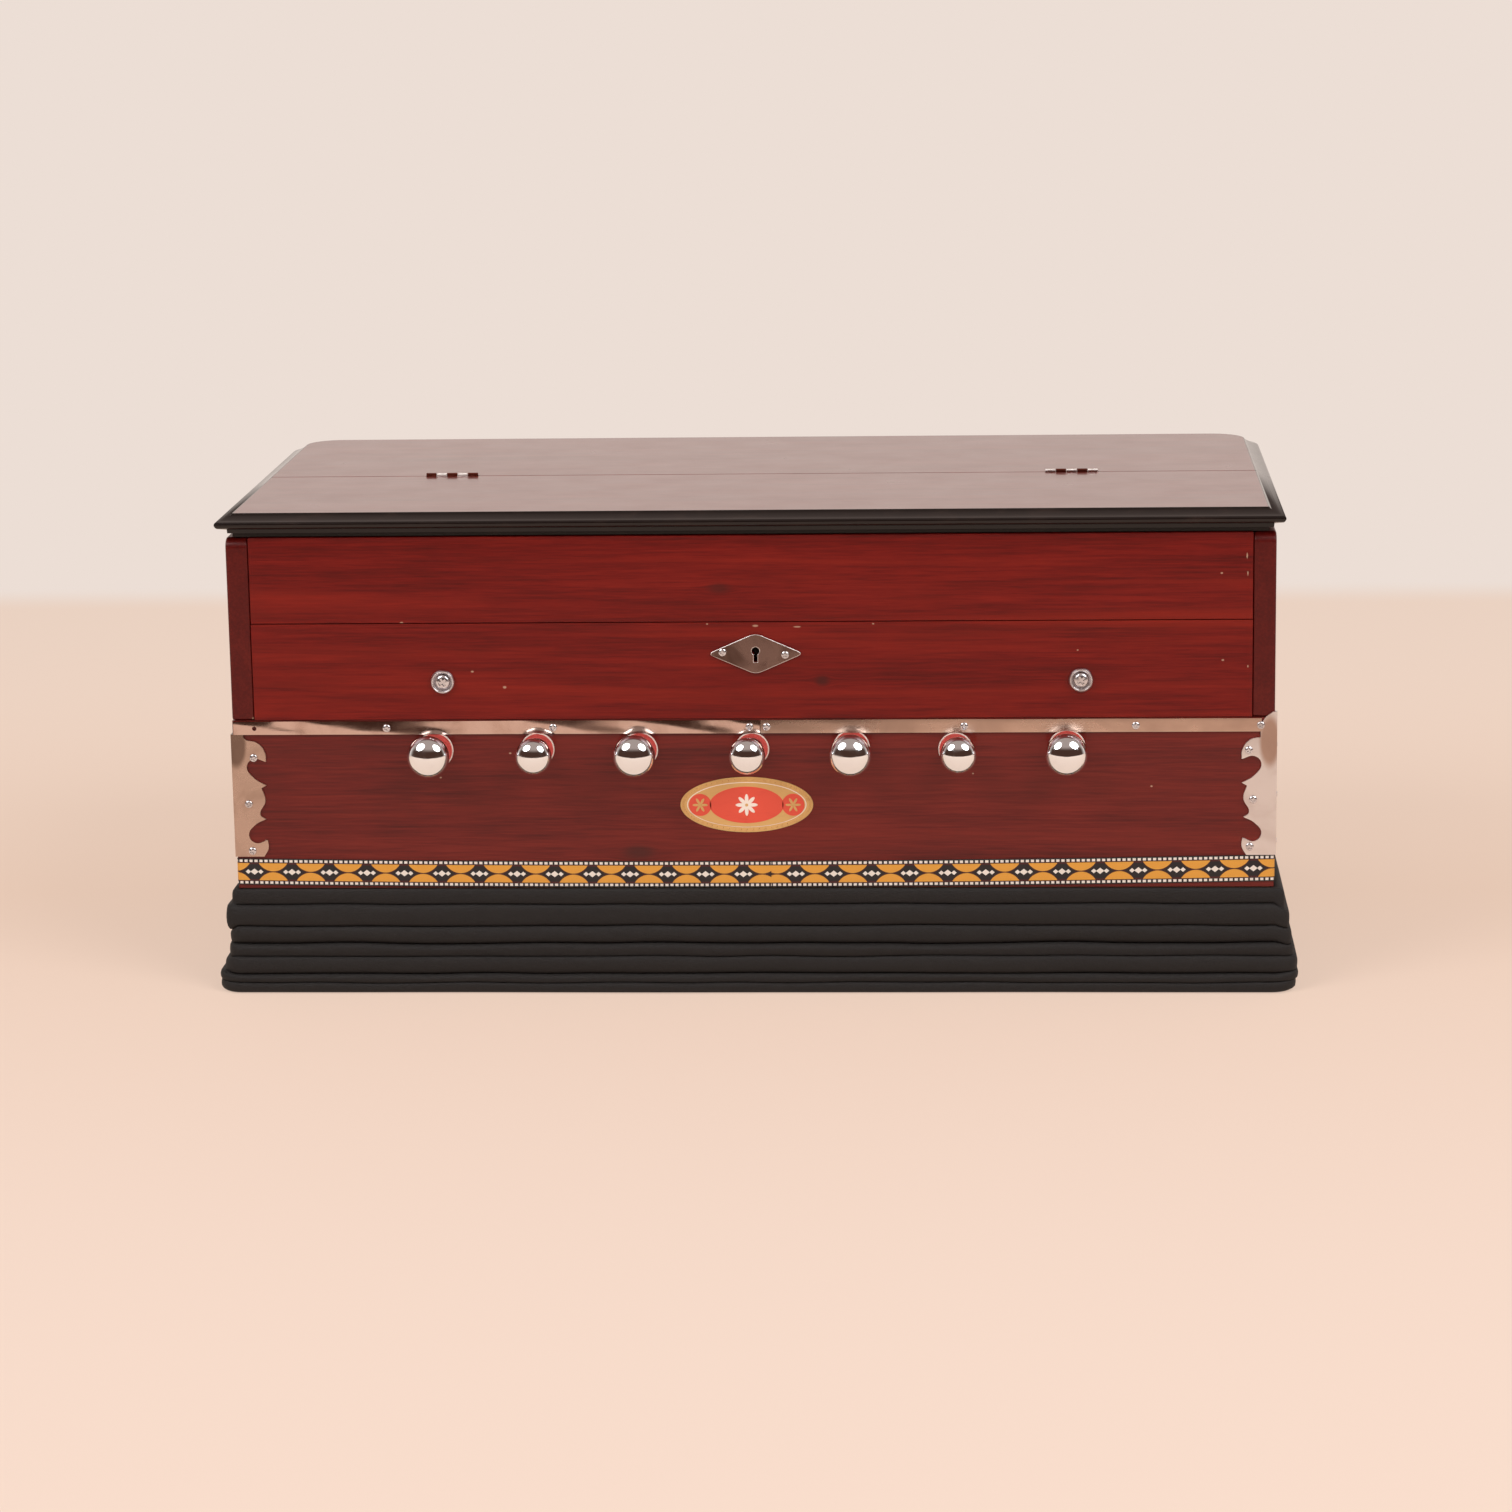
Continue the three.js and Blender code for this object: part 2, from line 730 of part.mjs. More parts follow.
/** A diamond with rounded tips about a centre. */
function diamond(x, z, halfLong, halfHigh, tipShare) {
  const sharpen = 1 / (1 - tipShare / 2);
  const tips = [
    [x + halfLong * sharpen, z],
    [x, z + halfHigh * sharpen],
    [x - halfLong * sharpen, z],
    [x, z - halfHigh * sharpen],
  ];
  const shape = new THREE.Shape();
  tips.forEach((tip, n) => {
    const before = tips[(n + tips.length - 1) % tips.length];
    const after = tips[(n + 1) % tips.length];
    const towards = (other) => [0, 1].map((axis) => tip[axis] + tipShare * (other[axis] - tip[axis]));
    const entry = towards(before);
    if (n === 0) {
      shape.moveTo(...entry);
    } else {
      shape.lineTo(...entry);
    }
    shape.quadraticCurveTo(...tip, ...towards(after));
  });
  return shape;
}

/** A keyhole outline about the centre of its round part. */
function keyholeOutline(x, z, radius, slotWidth, slotDepth) {
  const open = Math.asin(slotWidth / (2 * radius));
  const path = new THREE.Path();
  path.absarc(x, z, radius, open - Math.PI / 2, (3 * Math.PI) / 2 - open, false);
  path.lineTo(x - slotWidth / 2, z - slotDepth);
  path.lineTo(x + slotWidth / 2, z - slotDepth);
  return path;
}

/** Slip and apron panels between the cheeks, with the lock that joins them. */
function makePanelsAndLock() {
  const wide = [-innerHalfWidth, innerHalfWidth];
  const deep = [frontFace, frontInner];
  const escutcheonZ = slipTop - escutcheonDrop;
  const keyholeZ = escutcheonZ + keyholeRise;

  const caseTop = slipTop - lockCaseDrop;
  const caseX = [lockPlace - lockCaseWidth / 2, lockPlace + lockCaseWidth / 2];
  const caseY = [frontInner - lockCaseThickness, frontInner];
  const caseZ = [caseTop - lockCaseHeight, caseTop];
  const boltX = [lockPlace - boltWidth / 2, lockPlace + boltWidth / 2];
  const boltMiddle = (caseY[0] + caseY[1]) / 2;
  const boltY = [boltMiddle - boltThickness / 2, boltMiddle + boltThickness / 2];
  const boltZ = [slipTop - boltRest - boltLength, slipTop - boltRest];
  const wider = ([a, b]) => [a - gap, b + gap];

  const pocket = block(wider(caseX), [caseY[0] - gap, caseY[1] + overrun], wider(caseZ));
  const boltWay = block(wider(boltX), wider(boltY), [caseTop - gap, slipTop + overrun]);
  const keyWay = plateAcrossY(
    shapeOf(keyholeOutline(lockPlace, keyholeZ, keyholeRadius, keyholeSlotWidth, keyholeSlotDepth)
      .getPoints(keyholeSteps)
      .map((point) => [point.x, point.y])),
    [frontFace - overrun, caseY[0]],
  );
  piece('slip_panel', cut(block(wide, deep, [slipBottom, slipTop]), [pocket, boltWay, keyWay]), 'redWood');

  const channel = block(wider(boltX), wider(boltY), [boltZ[0] - gap, caseTop + overrun]);
  piece('lock_case', cut(block(caseX, caseY, caseZ), [channel]), 'steel');
  piece('lock_bolt', block(boltX, boltY, boltZ), 'brass');

  const strikeX = [lockPlace - strikeWidth / 2, lockPlace + strikeWidth / 2];
  const strikeY = [frontInner - strikeDepth, frontInner];
  const strikeZ = [apronBottom, apronBottom + strikeThickness];
  const boltEntry = block(wider(boltX), wider(boltY), [apronBottom - overrun, boltZ[1] + boltThrow + gap]);
  const seat = block(wider(strikeX), [strikeY[0] - gap, strikeY[1] + overrun], [apronBottom - overrun, strikeZ[1] + gap]);
  const apron = block(wide, deep, [apronBottom, cabinetTop]);
  piece('apron_panel', cut(apron, [seat, boltEntry]), 'redWood');
  piece('strike_plate', cut(block(strikeX, strikeY, strikeZ), [boltEntry]), 'brass');

  const plate = diamond(lockPlace, escutcheonZ, escutcheonWidth / 2, escutcheonHeight / 2, escutcheonTipShare);
  plate.holes.push(keyholeOutline(lockPlace, keyholeZ, keyholeRadius, keyholeSlotWidth, keyholeSlotDepth));
  const plateFaces = [metalFront - sheetThickness, metalFront];
  piece('escutcheon', plateAcrossY(plate, plateFaces, keyholeSteps / 2), 'brass');

  for (const [side, share] of Object.entries(studPlaceShares)) {
    const profile = studShares.map(([radiusShare, heightShare]) => [
      radiusShare * studRadius,
      metalFront - heightShare * studHeight,
    ]);
    profile.unshift([0, metalFront]);
    piece(`panel_stud_${side}`, turned(profile, studSegments, share * halfWidth, slipTop - studDrop), 'chrome');
  }
}

/** One length of the bright strip along the top of the front board, crowned across. */
function makeStrip(side, span) {
  const top = frontBoardTop;
  const bottom = top - stripHeight;
  const middle = (top + bottom) / 2;
  const flat = (stripHeight / 2) * stripCrownShare;
  const edge = metalFront - sheetThickness / 2;
  const crown = metalFront - sheetThickness;
  const outline = shapeOf([
    [metalFront, bottom],
    [metalFront, top],
    [edge, top],
    [crown, middle + flat],
    [crown, middle - flat],
    [edge, bottom],
  ]);
  piece(`trim_strip_${side}`, plateAcrossX(outline, span), 'chrome');
}

/** The scrolled outline of a bracket leaf: distance from the corner and height. */
function bracketOutline() {
  const halfHeight = bracketHeight / 2;
  const middle = frontBoardTop - bracketDrop - halfHeight;
  const half = [];
  for (const stretch of bracketScrollShares) {
    const points = stretch.map(
      ([reachShare, heightShare]) => new THREE.Vector2(reachShare * bracketReach, heightShare * halfHeight),
    );
    const steps = (points.length - 1) * (points.length > 2 ? bracketCurveSteps / 2 : 1);
    half.push(...new THREE.SplineCurve(points).getPoints(steps).slice(1));
  }
  const upper = half.map((point) => [point.x, middle + point.y]);
  const lower = half.map((point) => [point.x, middle - point.y]).reverse();
  const ends = [upper[upper.length - 1][1], lower[0][1]];
  const startShare = bracketScrollShares[0][0][0];
  return [...lower, [startShare * bracketReach, middle], ...upper, [0, ends[0]], [0, ends[1]]];
}

/** A sheet bracket bent round a front corner, one leaf on the front and one on the side. */
function makeBracket(side, sign, hasTab) {
  const outline = bracketOutline();
  const cornerX = halfWidth + gap + sheetThickness;
  const cornerY = metalFront - sheetThickness;
  const front = shapeOf(outline.map(([reach, z]) => [sign * (cornerX - reach), z]));
  const onSide = shapeOf(outline.map(([reach, z]) => [cornerY + reach, z]));
  const sideFaces = [sign * cornerX, sign * (halfWidth + gap)].sort((a, b) => a - b);
  const parts = [plateAcrossY(front, [cornerY, metalFront]), plateAcrossX(onSide, sideFaces)];
  if (hasTab) {
    const tabX = [sign * cornerX, sign * (cornerX - bracketTabWidth)].sort((a, b) => a - b);
    const tabBottom = frontBoardTop - bracketDrop - stripHeight;
    const tab = new THREE.Shape();
    const round = bracketTabWidth / 2;
    const tabTop = frontBoardTop - stripHeight + bracketTabRise;
    tab.moveTo(tabX[0], tabBottom);
    tab.lineTo(tabX[1], tabBottom);
    tab.lineTo(tabX[1], tabTop - round);
    tab.absarc(tabX[0] + round, tabTop - round, round, 0, Math.PI, false);
    parts.push(plateAcrossY(tab, [cornerY, metalFront], bracketCurveSteps));
  }
  piece(`corner_bracket_${side}`, joined(parts), 'chrome');
}

/** Strips and corner brackets on the front board. */
function makeTrim() {
  const farEnd = halfWidth + gap + sheetThickness - bracketTabWidth - gap;
  const join = stripJoinShare * halfWidth;
  makeStrip('left', [-halfWidth + stripEndInset, join - gap / 2]);
  makeStrip('right', [join + gap / 2, farEnd]);
  makeBracket('left', -1, false);
  makeBracket('right', 1, true);
}

/** One stop: ball knob, neck, rod through the board and the pad at its inner end. */
function makeStop(name, place, ballRadius) {
  const centre = frontFace - stopBallStandOff;
  const backAngle = Math.PI - Math.asin(stopNeckRadius / ballRadius);
  const profile = [];
  for (let step = 0; step <= stopBallSteps; step += 1) {
    const angle = (step / stopBallSteps) * backAngle;
    profile.push([ballRadius * Math.sin(angle), centre - ballRadius * Math.cos(angle)]);
  }
  const neckEnd = frontFace - stopNeckStart;
  const rodEnd = frontFace + stopRodLength;
  profile.push([stopNeckRadius, neckEnd]);
  profile.push([stopRodRadius, neckEnd]);
  profile.push([stopRodRadius, rodEnd]);
  profile.push([stopPadRadius, rodEnd]);
  profile.push([stopPadRadius, rodEnd + stopPadThickness]);
  profile.push([0, rodEnd + stopPadThickness]);
  piece(name, turned(profile, stopSegments, place, frontBoardTop - stopDrop), 'chrome');
}

/** The row of stops, large and small knobs by turns. */
function makeStops() {
  stopPlaceShares.forEach((share, n) => {
    const radius = n % 2 === 0 ? stopBallRadii.large : stopBallRadii.small;
    makeStop(`stop_${n + 1}`, share * halfWidth, radius);
  });
}

/** The lane behind the key fronts that one key's tail runs in. */
function laneOf(key) {
  const left = keyboardLeft + key * lanePitch;
  return [left + keySpacing / 2, left + lanePitch - keySpacing / 2];
}

/** The pad under a key's tail that closes its reed slot. */
function palletOf(key) {
  const [left, right] = laneOf(key);
  const end = keyTailEnd - palletInset;
  return block(
    [left + palletSideClearance, right - palletSideClearance],
    [end - palletLength, end],
    [keyUnder - palletHeight, keyUnder + weldDistance],
  );
}

/** A white key: broad front, tail in its lane, pallet under the tail. */
function whiteKey(key) {
  const octave = Math.floor(key / octaveKeys);
  const nth = octave * whiteSteps.length + whiteSteps.indexOf(key % octaveKeys);
  const headLeft = keyboardLeft + nth * whiteKeyPitch + keySpacing / 2;
  const headRight = headLeft + whiteKeyPitch - keySpacing;
  const [tailLeft, tailRight] = laneOf(key);
  const headBack = keyFront + keyHeadLength;
  const shoulder = tailLeft < headLeft ? headBack + keySpacing : headBack;
  const outline = shapeOf([
    [headLeft, keyFront],
    [headRight, keyFront],
    [headRight, headBack],
    [tailRight, headBack],
    [tailRight, keyTailEnd],
    [tailLeft, keyTailEnd],
    [tailLeft, shoulder],
    [headLeft, shoulder],
  ]);
  return [plateAcrossZ(outline, [keyUnder, keyTop]), palletOf(key)];
}

/** A black key: lever in its lane, tapered block on it, pallet under the tail. */
function blackKey(key) {
  const [left, right] = laneOf(key);
  const front = keyFront + keyHeadLength + keySpacing;
  const back = creaseY - blackKeyBackClearance;
  const leverTop = keyTop - blackKeyRelief;
  const lever = block([left, right], [front, keyTailEnd], [keyUnder, leverTop]);
  const ring = (inset, slope, level) => [
    [left + inset, front + slope, level],
    [right - inset, front + slope, level],
    [right - inset, back, level],
    [left + inset, back, level],
  ];
  const raised = skin([ring(0, 0, leverTop - weldDistance), ring(blackKeyTaper, blackKeySlope, blackKeyTop)], false);
  return [lever, raised, palletOf(key)];
}

/** Keys, the balance rail, the key bed and the reed board under the tails. */
function makeKeyboard() {
  const firstPlaying = playingOctave * octaveKeys;
  const lastPlaying = firstPlaying + octaveKeys - 1;
  const still = [];
  for (let key = 0; key < keyCount; key += 1) {
    const isWhite = whiteSteps.includes(key % octaveKeys);
    const parts = isWhite ? whiteKey(key) : blackKey(key);
    if (key < firstPlaying || key > lastPlaying) {
      still.push(...parts);
    } else {
      piece(`key_${stepNames[key % octaveKeys]}`, joined(parts), isWhite ? 'ivory' : 'ebony');
    }
  }

  const bedTop = keyUnder - keyBedDrop;
  const railY = [balancePlace - balanceRailWidth / 2, balancePlace + balanceRailWidth / 2];
  const railBottom = bedTop + gap;
  const railEnd = innerHalfWidth;
  const lowTop = keyUnder - gap;
  const highTop = keyUnder + balanceSaddle;
  const lowLeft = laneOf(firstPlaying)[0] - keySpacing / 2;
  const lowRight = laneOf(lastPlaying)[1] + keySpacing / 2;
  still.push(block([-railEnd, railEnd], railY, [railBottom, lowTop]));
  still.push(block([-railEnd, lowLeft], railY, [railBottom, highTop]));
  still.push(block([lowRight, railEnd], railY, [railBottom, highTop]));
  piece('outer_keys', joined(still), 'ivory');

  const bedY = [frontInner + gap, balancePlace + keyBedBehindBalance];
  const bed = block([-innerHalfWidth, innerHalfWidth], bedY, [bedTop - keyBedThickness, bedTop]);
  const restFront = keyFront + keyRestRailInset;
  const restTop = keyUnder - keyDip - gap;
  const restRail = block(
    [-innerHalfWidth, innerHalfWidth],
    [restFront, restFront + keyRestRailWidth],
    [bedTop - weldDistance, restTop],
  );
  const blockY = [keyFront, creaseY];
  const blockZ = [bedTop - weldDistance, blackKeyTop];
  const ends = [
    block([-innerHalfWidth, -innerHalfWidth + endBlockWidth], blockY, blockZ),
    block([innerHalfWidth - endBlockWidth, innerHalfWidth], blockY, blockZ),
  ];
  piece('key_bed', joined([bed, restRail, ...ends]), 'paleWood');

  const reedFront = bedY[1] + gap;
  const reedBack = backInner - gap;
  const reedLevels = [reedBoardTop - reedBoardThickness, reedBoardTop];
  const palletEnd = keyTailEnd - palletInset;
  const slotY = [palletEnd - palletLength + reedSlotEndCover, palletEnd - reedSlotEndCover];
  const slots = [];
  for (let key = 0; key < keyCount; key += 1) {
    const [left, right] = laneOf(key);
    const cover = palletSideClearance + reedSlotSideCover;
    const slotX = [left + cover, right - cover];
    slots.push(block(slotX, slotY, [reedLevels[0] - overrun, reedLevels[1] + overrun]));
  }
  const reedBoard = block([-innerHalfWidth, innerHalfWidth], [reedFront, reedBack], reedLevels);
  piece('reed_board', cut(reedBoard, slots), 'paleWood');
}

/** Rear pump: rail, folds, board with intake holes, flap inside and leather hinge below. */
function makePump() {
  const railX = halfWidth - pumpRailInset;
  const railY = [halfDepth + gap, pumpInner - gap];
  const railTop = cabinetBottom + pumpRailHeight;
  piece('pump_rail', block([-railX, railX], railY, [cabinetBottom, railTop]), 'redWood');

  const round = pumpBoardRounding;
  const boardTop = pumpBoardTop;
  const board = new THREE.Shape();
  board.moveTo(-halfWidth, cabinetBottom);
  board.lineTo(halfWidth, cabinetBottom);
  board.lineTo(halfWidth, boardTop - round);
  board.absarc(halfWidth - round, boardTop - round, round, 0, Math.PI / 2, false);
  board.lineTo(-halfWidth + round, boardTop);
  board.absarc(-halfWidth + round, boardTop - round, round, Math.PI / 2, Math.PI, false);
  addAirHoles(board);
  const boardFaces = [pumpInner, pumpInner + pumpBoardThickness];
  piece('pump_board', plateAcrossY(board, boardFaces, airHoleSegments / 2), 'redWood');

  const foldHalfX = halfWidth - pumpFoldInset;
  const foldBottom = railTop + pumpFoldRise + pumpPleatDepth;
  const foldTop = boardTop - pumpFoldHeadroom - pumpPleatDepth;
  const foldHalfZ = (foldTop - foldBottom) / 2;
  const lines = 2 * pumpPleats;
  const depth = railY[1] - railY[0];
  const innerLoops = [];
  const outerLoops = [];
  for (let line = 0; line <= lines; line += 1) {
    const level = (line / lines) * depth;
    const stand = line % 2 === 0 ? 0 : pumpPleatDepth;
    const drawnIn = stand * pumpPleatCornerShare;
    const wall = pumpClothThickness;
    outerLoops.push(foldLoop(foldHalfX, foldHalfZ, pumpPleatCornerRun, stand, drawnIn, level));
    innerLoops.unshift(foldLoop(foldHalfX, foldHalfZ, pumpPleatCornerRun, stand - wall, drawnIn - wall, level));
  }
  const folds = skin([...outerLoops, ...innerLoops], true);
  folds.rotateX(Math.PI / 2);
  folds.translate(0, railY[1], (foldTop + foldBottom) / 2);
  piece('pump_folds', folds, 'blackCloth');

  const flapHalfX = ((airHoleColumns - 1) * airHoleSpacing) / 2 + airHoleRadius + flapMargin;
  const flapHalfZ = ((airHoleRows - 1) * airHoleSpacing) / 2 + airHoleRadius + flapMargin;
  const flapZ = cabinetBottom + airHolePlace;
  const flapY = [pumpInner - gap - flapThickness, pumpInner - gap];
  const flap = block([-flapHalfX, flapHalfX], flapY, [flapZ - flapHalfZ, flapZ + flapHalfZ]);
  piece('intake_flap', flap, 'leather');

  const hingeY = [pumpInner - pumpHingeOnRail, pumpInner + pumpHingeOnBoard];
  const hingeZ = [cabinetBottom - gap - pumpHingeThickness, cabinetBottom - gap];
  piece('pump_hinge', block([-railX, railX], hingeY, hingeZ), 'leather');
}

/** Hooks on the ends of the pump board and the studs on the side boards that they catch. */
function makeLatches() {
  const pivotY = pumpInner + pumpBoardThickness / 2;
  const pivotZ = pumpBoardTop - latchDrop;
  const half = latchWidth / 2;
  const end = pivotZ - latchLength - latchTail;
  const notchZ = pivotZ - latchLength;
  const shape = new THREE.Shape();
  shape.absarc(pivotY, pivotZ, half, 0, Math.PI, false);
  shape.lineTo(pivotY - half, notchZ + latchNotchWidth / 2);
  shape.lineTo(pivotY - half + latchNotchDepth, notchZ + latchNotchWidth / 2);
  shape.lineTo(pivotY - half + latchNotchDepth, notchZ - latchNotchWidth / 2);
  shape.lineTo(pivotY - half, notchZ - latchNotchWidth / 2);
  shape.lineTo(pivotY - half, end);
  shape.lineTo(pivotY + half, end);
  const plateStart = halfWidth + gap;
  const plateEnd = plateStart + latchThickness;
  const studEnd = plateEnd + gap + latchStudHeadThickness;
  const studY = pivotY - latchLength;
  for (const [side, sign] of Object.entries({ left: -1, right: 1 })) {
    const span = (a, b) => [sign * a, sign * b].sort((p, q) => p - q);
    const plate = plateAcrossX(shape, span(plateStart, plateEnd), latchSegments / 2);
    const bossSpan = span(plateStart, plateEnd + latchBossHeight);
    const boss = barAlongX(latchBossRadius, bossSpan, pivotY, pivotZ, latchSegments);
    piece(`latch_${side}`, joined([plate, boss]), 'brass');

    const stem = barAlongX(latchStudRadius, span(plateStart, studEnd), studY, pivotZ, latchSegments);
    const headSpan = span(plateEnd + gap, studEnd);
    const head = barAlongX(latchStudHeadRadius, headSpan, studY, pivotZ, latchSegments);
    piece(`latch_stud_${side}`, joined([stem, head]), 'brass');
  }
}

makeBase();
makeReservoir();
makeCabinet();
makeLid();
makeLidHinges();
makePanelsAndLock();
makeTrim();
makeStops();
makeKeyboard();
makePump();
makeLatches();

export default harmonium;
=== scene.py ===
"""The looks of a hand-pumped harmonium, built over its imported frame.

Lengths are in metres and +Z is up. The player sits on the -Y side, the pump is on the +Y side,
and the left end is -X. The numbers of a piece stand in its class, and its finish in the palette.
"""

import logging
import math
from dataclasses import dataclass, field
from enum import Enum
from typing import Callable, Iterable, Optional, Sequence, Union

import bmesh
import bpy
from mathutils import Matrix, Vector, noise


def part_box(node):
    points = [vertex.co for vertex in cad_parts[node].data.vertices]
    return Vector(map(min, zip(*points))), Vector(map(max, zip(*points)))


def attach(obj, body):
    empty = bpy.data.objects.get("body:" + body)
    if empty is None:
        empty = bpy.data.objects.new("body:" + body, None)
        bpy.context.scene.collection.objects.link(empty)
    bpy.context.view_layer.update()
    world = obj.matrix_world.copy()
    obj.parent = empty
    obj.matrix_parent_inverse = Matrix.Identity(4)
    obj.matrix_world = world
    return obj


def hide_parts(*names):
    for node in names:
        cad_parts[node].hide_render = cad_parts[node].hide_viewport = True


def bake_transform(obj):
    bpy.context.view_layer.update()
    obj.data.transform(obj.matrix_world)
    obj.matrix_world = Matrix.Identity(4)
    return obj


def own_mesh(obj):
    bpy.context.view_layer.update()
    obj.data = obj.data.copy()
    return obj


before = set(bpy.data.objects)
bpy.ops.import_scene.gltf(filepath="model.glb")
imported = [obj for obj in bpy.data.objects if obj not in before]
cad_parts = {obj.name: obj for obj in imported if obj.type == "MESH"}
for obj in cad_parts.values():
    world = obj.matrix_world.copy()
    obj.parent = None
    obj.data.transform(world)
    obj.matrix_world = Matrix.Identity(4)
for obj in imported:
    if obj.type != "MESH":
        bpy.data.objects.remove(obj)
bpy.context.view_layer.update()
LOG = logging.getLogger("harmonium")

Colour = tuple[float, float, float, float]
Shape = bmesh.types.BMesh
TURN = 2 * math.pi
UPRIGHT = Matrix.Rotation(math.pi / 2, 4, "X")
"""Stands a flat shape up, so that it faces the player."""
PLAYER = Vector((0, -1, 0))
"""The way from the cabinet to the player."""
FRONT = -0.1525
"""The plane of the cabinet's front, where panels, boards and cheeks meet the eye."""
SCREEN_SPLIT, SCREEN_SLOPE, SCREEN_LIFT, SCREEN_POWER = 0.04045, 12.92, 0.055, 2.4
"""The numbers of the curve from a screen's levels to light."""


class Slot(Enum):
    """The record's material slots."""

    LID_WOOD = "lid_wood"
    PALE_WOOD = "pale_wood"
    LEATHERCLOTH = "leathercloth"
    LEATHER = "leather"
    STEEL = "steel"
    NICKEL = "nickel"
    CHROME = "chrome"
    IVORY = "white_key"
    EBONY = "black_key"
    FELT = "felt"
    TAPE = "tape"
    BADGE = "badge"


class Grain(Enum):
    """The way a board's grain runs, as the share of a streak's fineness on each axis."""

    ALONG_X = (0.035, 1.0, 1.0)
    ALONG_Y = (1.0, 0.035, 1.0)


def paint(red: float, green: float, blue: float) -> Colour:
    """Turns a colour as a screen shows it into the light that a shader works with.

    Args:
        red: red from 0 to 255.
        green: green from 0 to 255.
        blue: blue from 0 to 255.

    Returns:
        The linear colour, with full alpha.
    """
    shares = [level / 255 for level in (red, green, blue)]
    light = [
        s / SCREEN_SLOPE if s <= SCREEN_SPLIT
        else ((s + SCREEN_LIFT) / (1 + SCREEN_LIFT)) ** SCREEN_POWER
        for s in shares
    ]
    return (light[0], light[1], light[2], 1.0)


def only(items: Iterable, kind: type) -> list:
    """Picks the items of one kind."""
    return [item for item in items if isinstance(item, kind)]


def linked(name: str, data: bpy.types.ID) -> bpy.types.Object:
    """Makes an object of some data and links it to the scene.

    Args:
        name: the object's name.
        data: its mesh, curve, lamp or camera.

    Returns:
        The object.
    """
    obj = bpy.data.objects.new(name, data)
    bpy.context.scene.collection.objects.link(obj)
    return obj


def evaluated(obj: bpy.types.Object) -> Shape:
    """Gives an object's mesh as its modifiers or curves make it.

    Args:
        obj: the object, linked to the scene.

    Returns:
        The mesh.
    """
    bpy.context.view_layer.update()
    shape = bmesh.new()
    shape.from_mesh(obj.evaluated_get(bpy.context.evaluated_depsgraph_get()).to_mesh())
    return shape


class Wire:
    """A value in a shader, on which arithmetic adds Math nodes."""

    def __init__(self, graph: "Graph", socket: bpy.types.NodeSocket) -> None:
        """Keeps the graph and the socket that the value comes from."""
        self.graph = graph
        self.socket = socket

    def __add__(self, other: "Value") -> "Wire":
        """Adds."""
        return self.graph.math("ADD", self, other)

    def __mul__(self, other: "Value") -> "Wire":
        """Multiplies."""
        return self.graph.math("MULTIPLY", self, other)

    def __sub__(self, other: "Value") -> "Wire":
        """Takes away."""
        return self.graph.math("SUBTRACT", self, other)

    def __rsub__(self, other: "Value") -> "Wire":
        """Takes this from another value."""
        return self.graph.math("SUBTRACT", other, self)

    def __truediv__(self, other: "Value") -> "Wire":
        """Divides."""
        return self.graph.math("DIVIDE", self, other)

    def __pow__(self, other: "Value") -> "Wire":
        """Raises to a power."""
        return self.graph.math("POWER", self, other)

    def __abs__(self) -> "Wire":
        """Drops the sign."""
        return self.graph.math("ABSOLUTE", self)

    def __gt__(self, other: "Value") -> "Wire":
        """One where the value is above another, else nothing."""
        return self.graph.math("GREATER_THAN", self, other)

    def __lt__(self, other: "Value") -> "Wire":
        """One where the value is below another, else nothing."""
        return self.graph.math("LESS_THAN", self, other)

    def most(self, other: "Value") -> "Wire":
        """The greater of two values."""
        return self.graph.math("MAXIMUM", self, other)

    def least(self, other: "Value") -> "Wire":
        """The smaller of two values."""
        return self.graph.math("MINIMUM", self, other)

    def fraction(self) -> "Wire":
        """What is left over a whole number."""
        return self.graph.math("FRACT", self)

    def rise(self, low: float, high: float) -> "Wire":
        """Goes smoothly from nothing at one level to one at another.

        Args:
            low: the level with nothing.
            high: the level with one.

        Returns:
            The smoothed value.
        """
        made = self.graph.node(
            "ShaderNodeMapRange",
            {"interpolation_type": "SMOOTHSTEP"},
            {"Value": self, "From Min": low, "From Max": high},
        )
        return Wire(self.graph, made.outputs["Result"])


Value = Union[Wire, float, int]


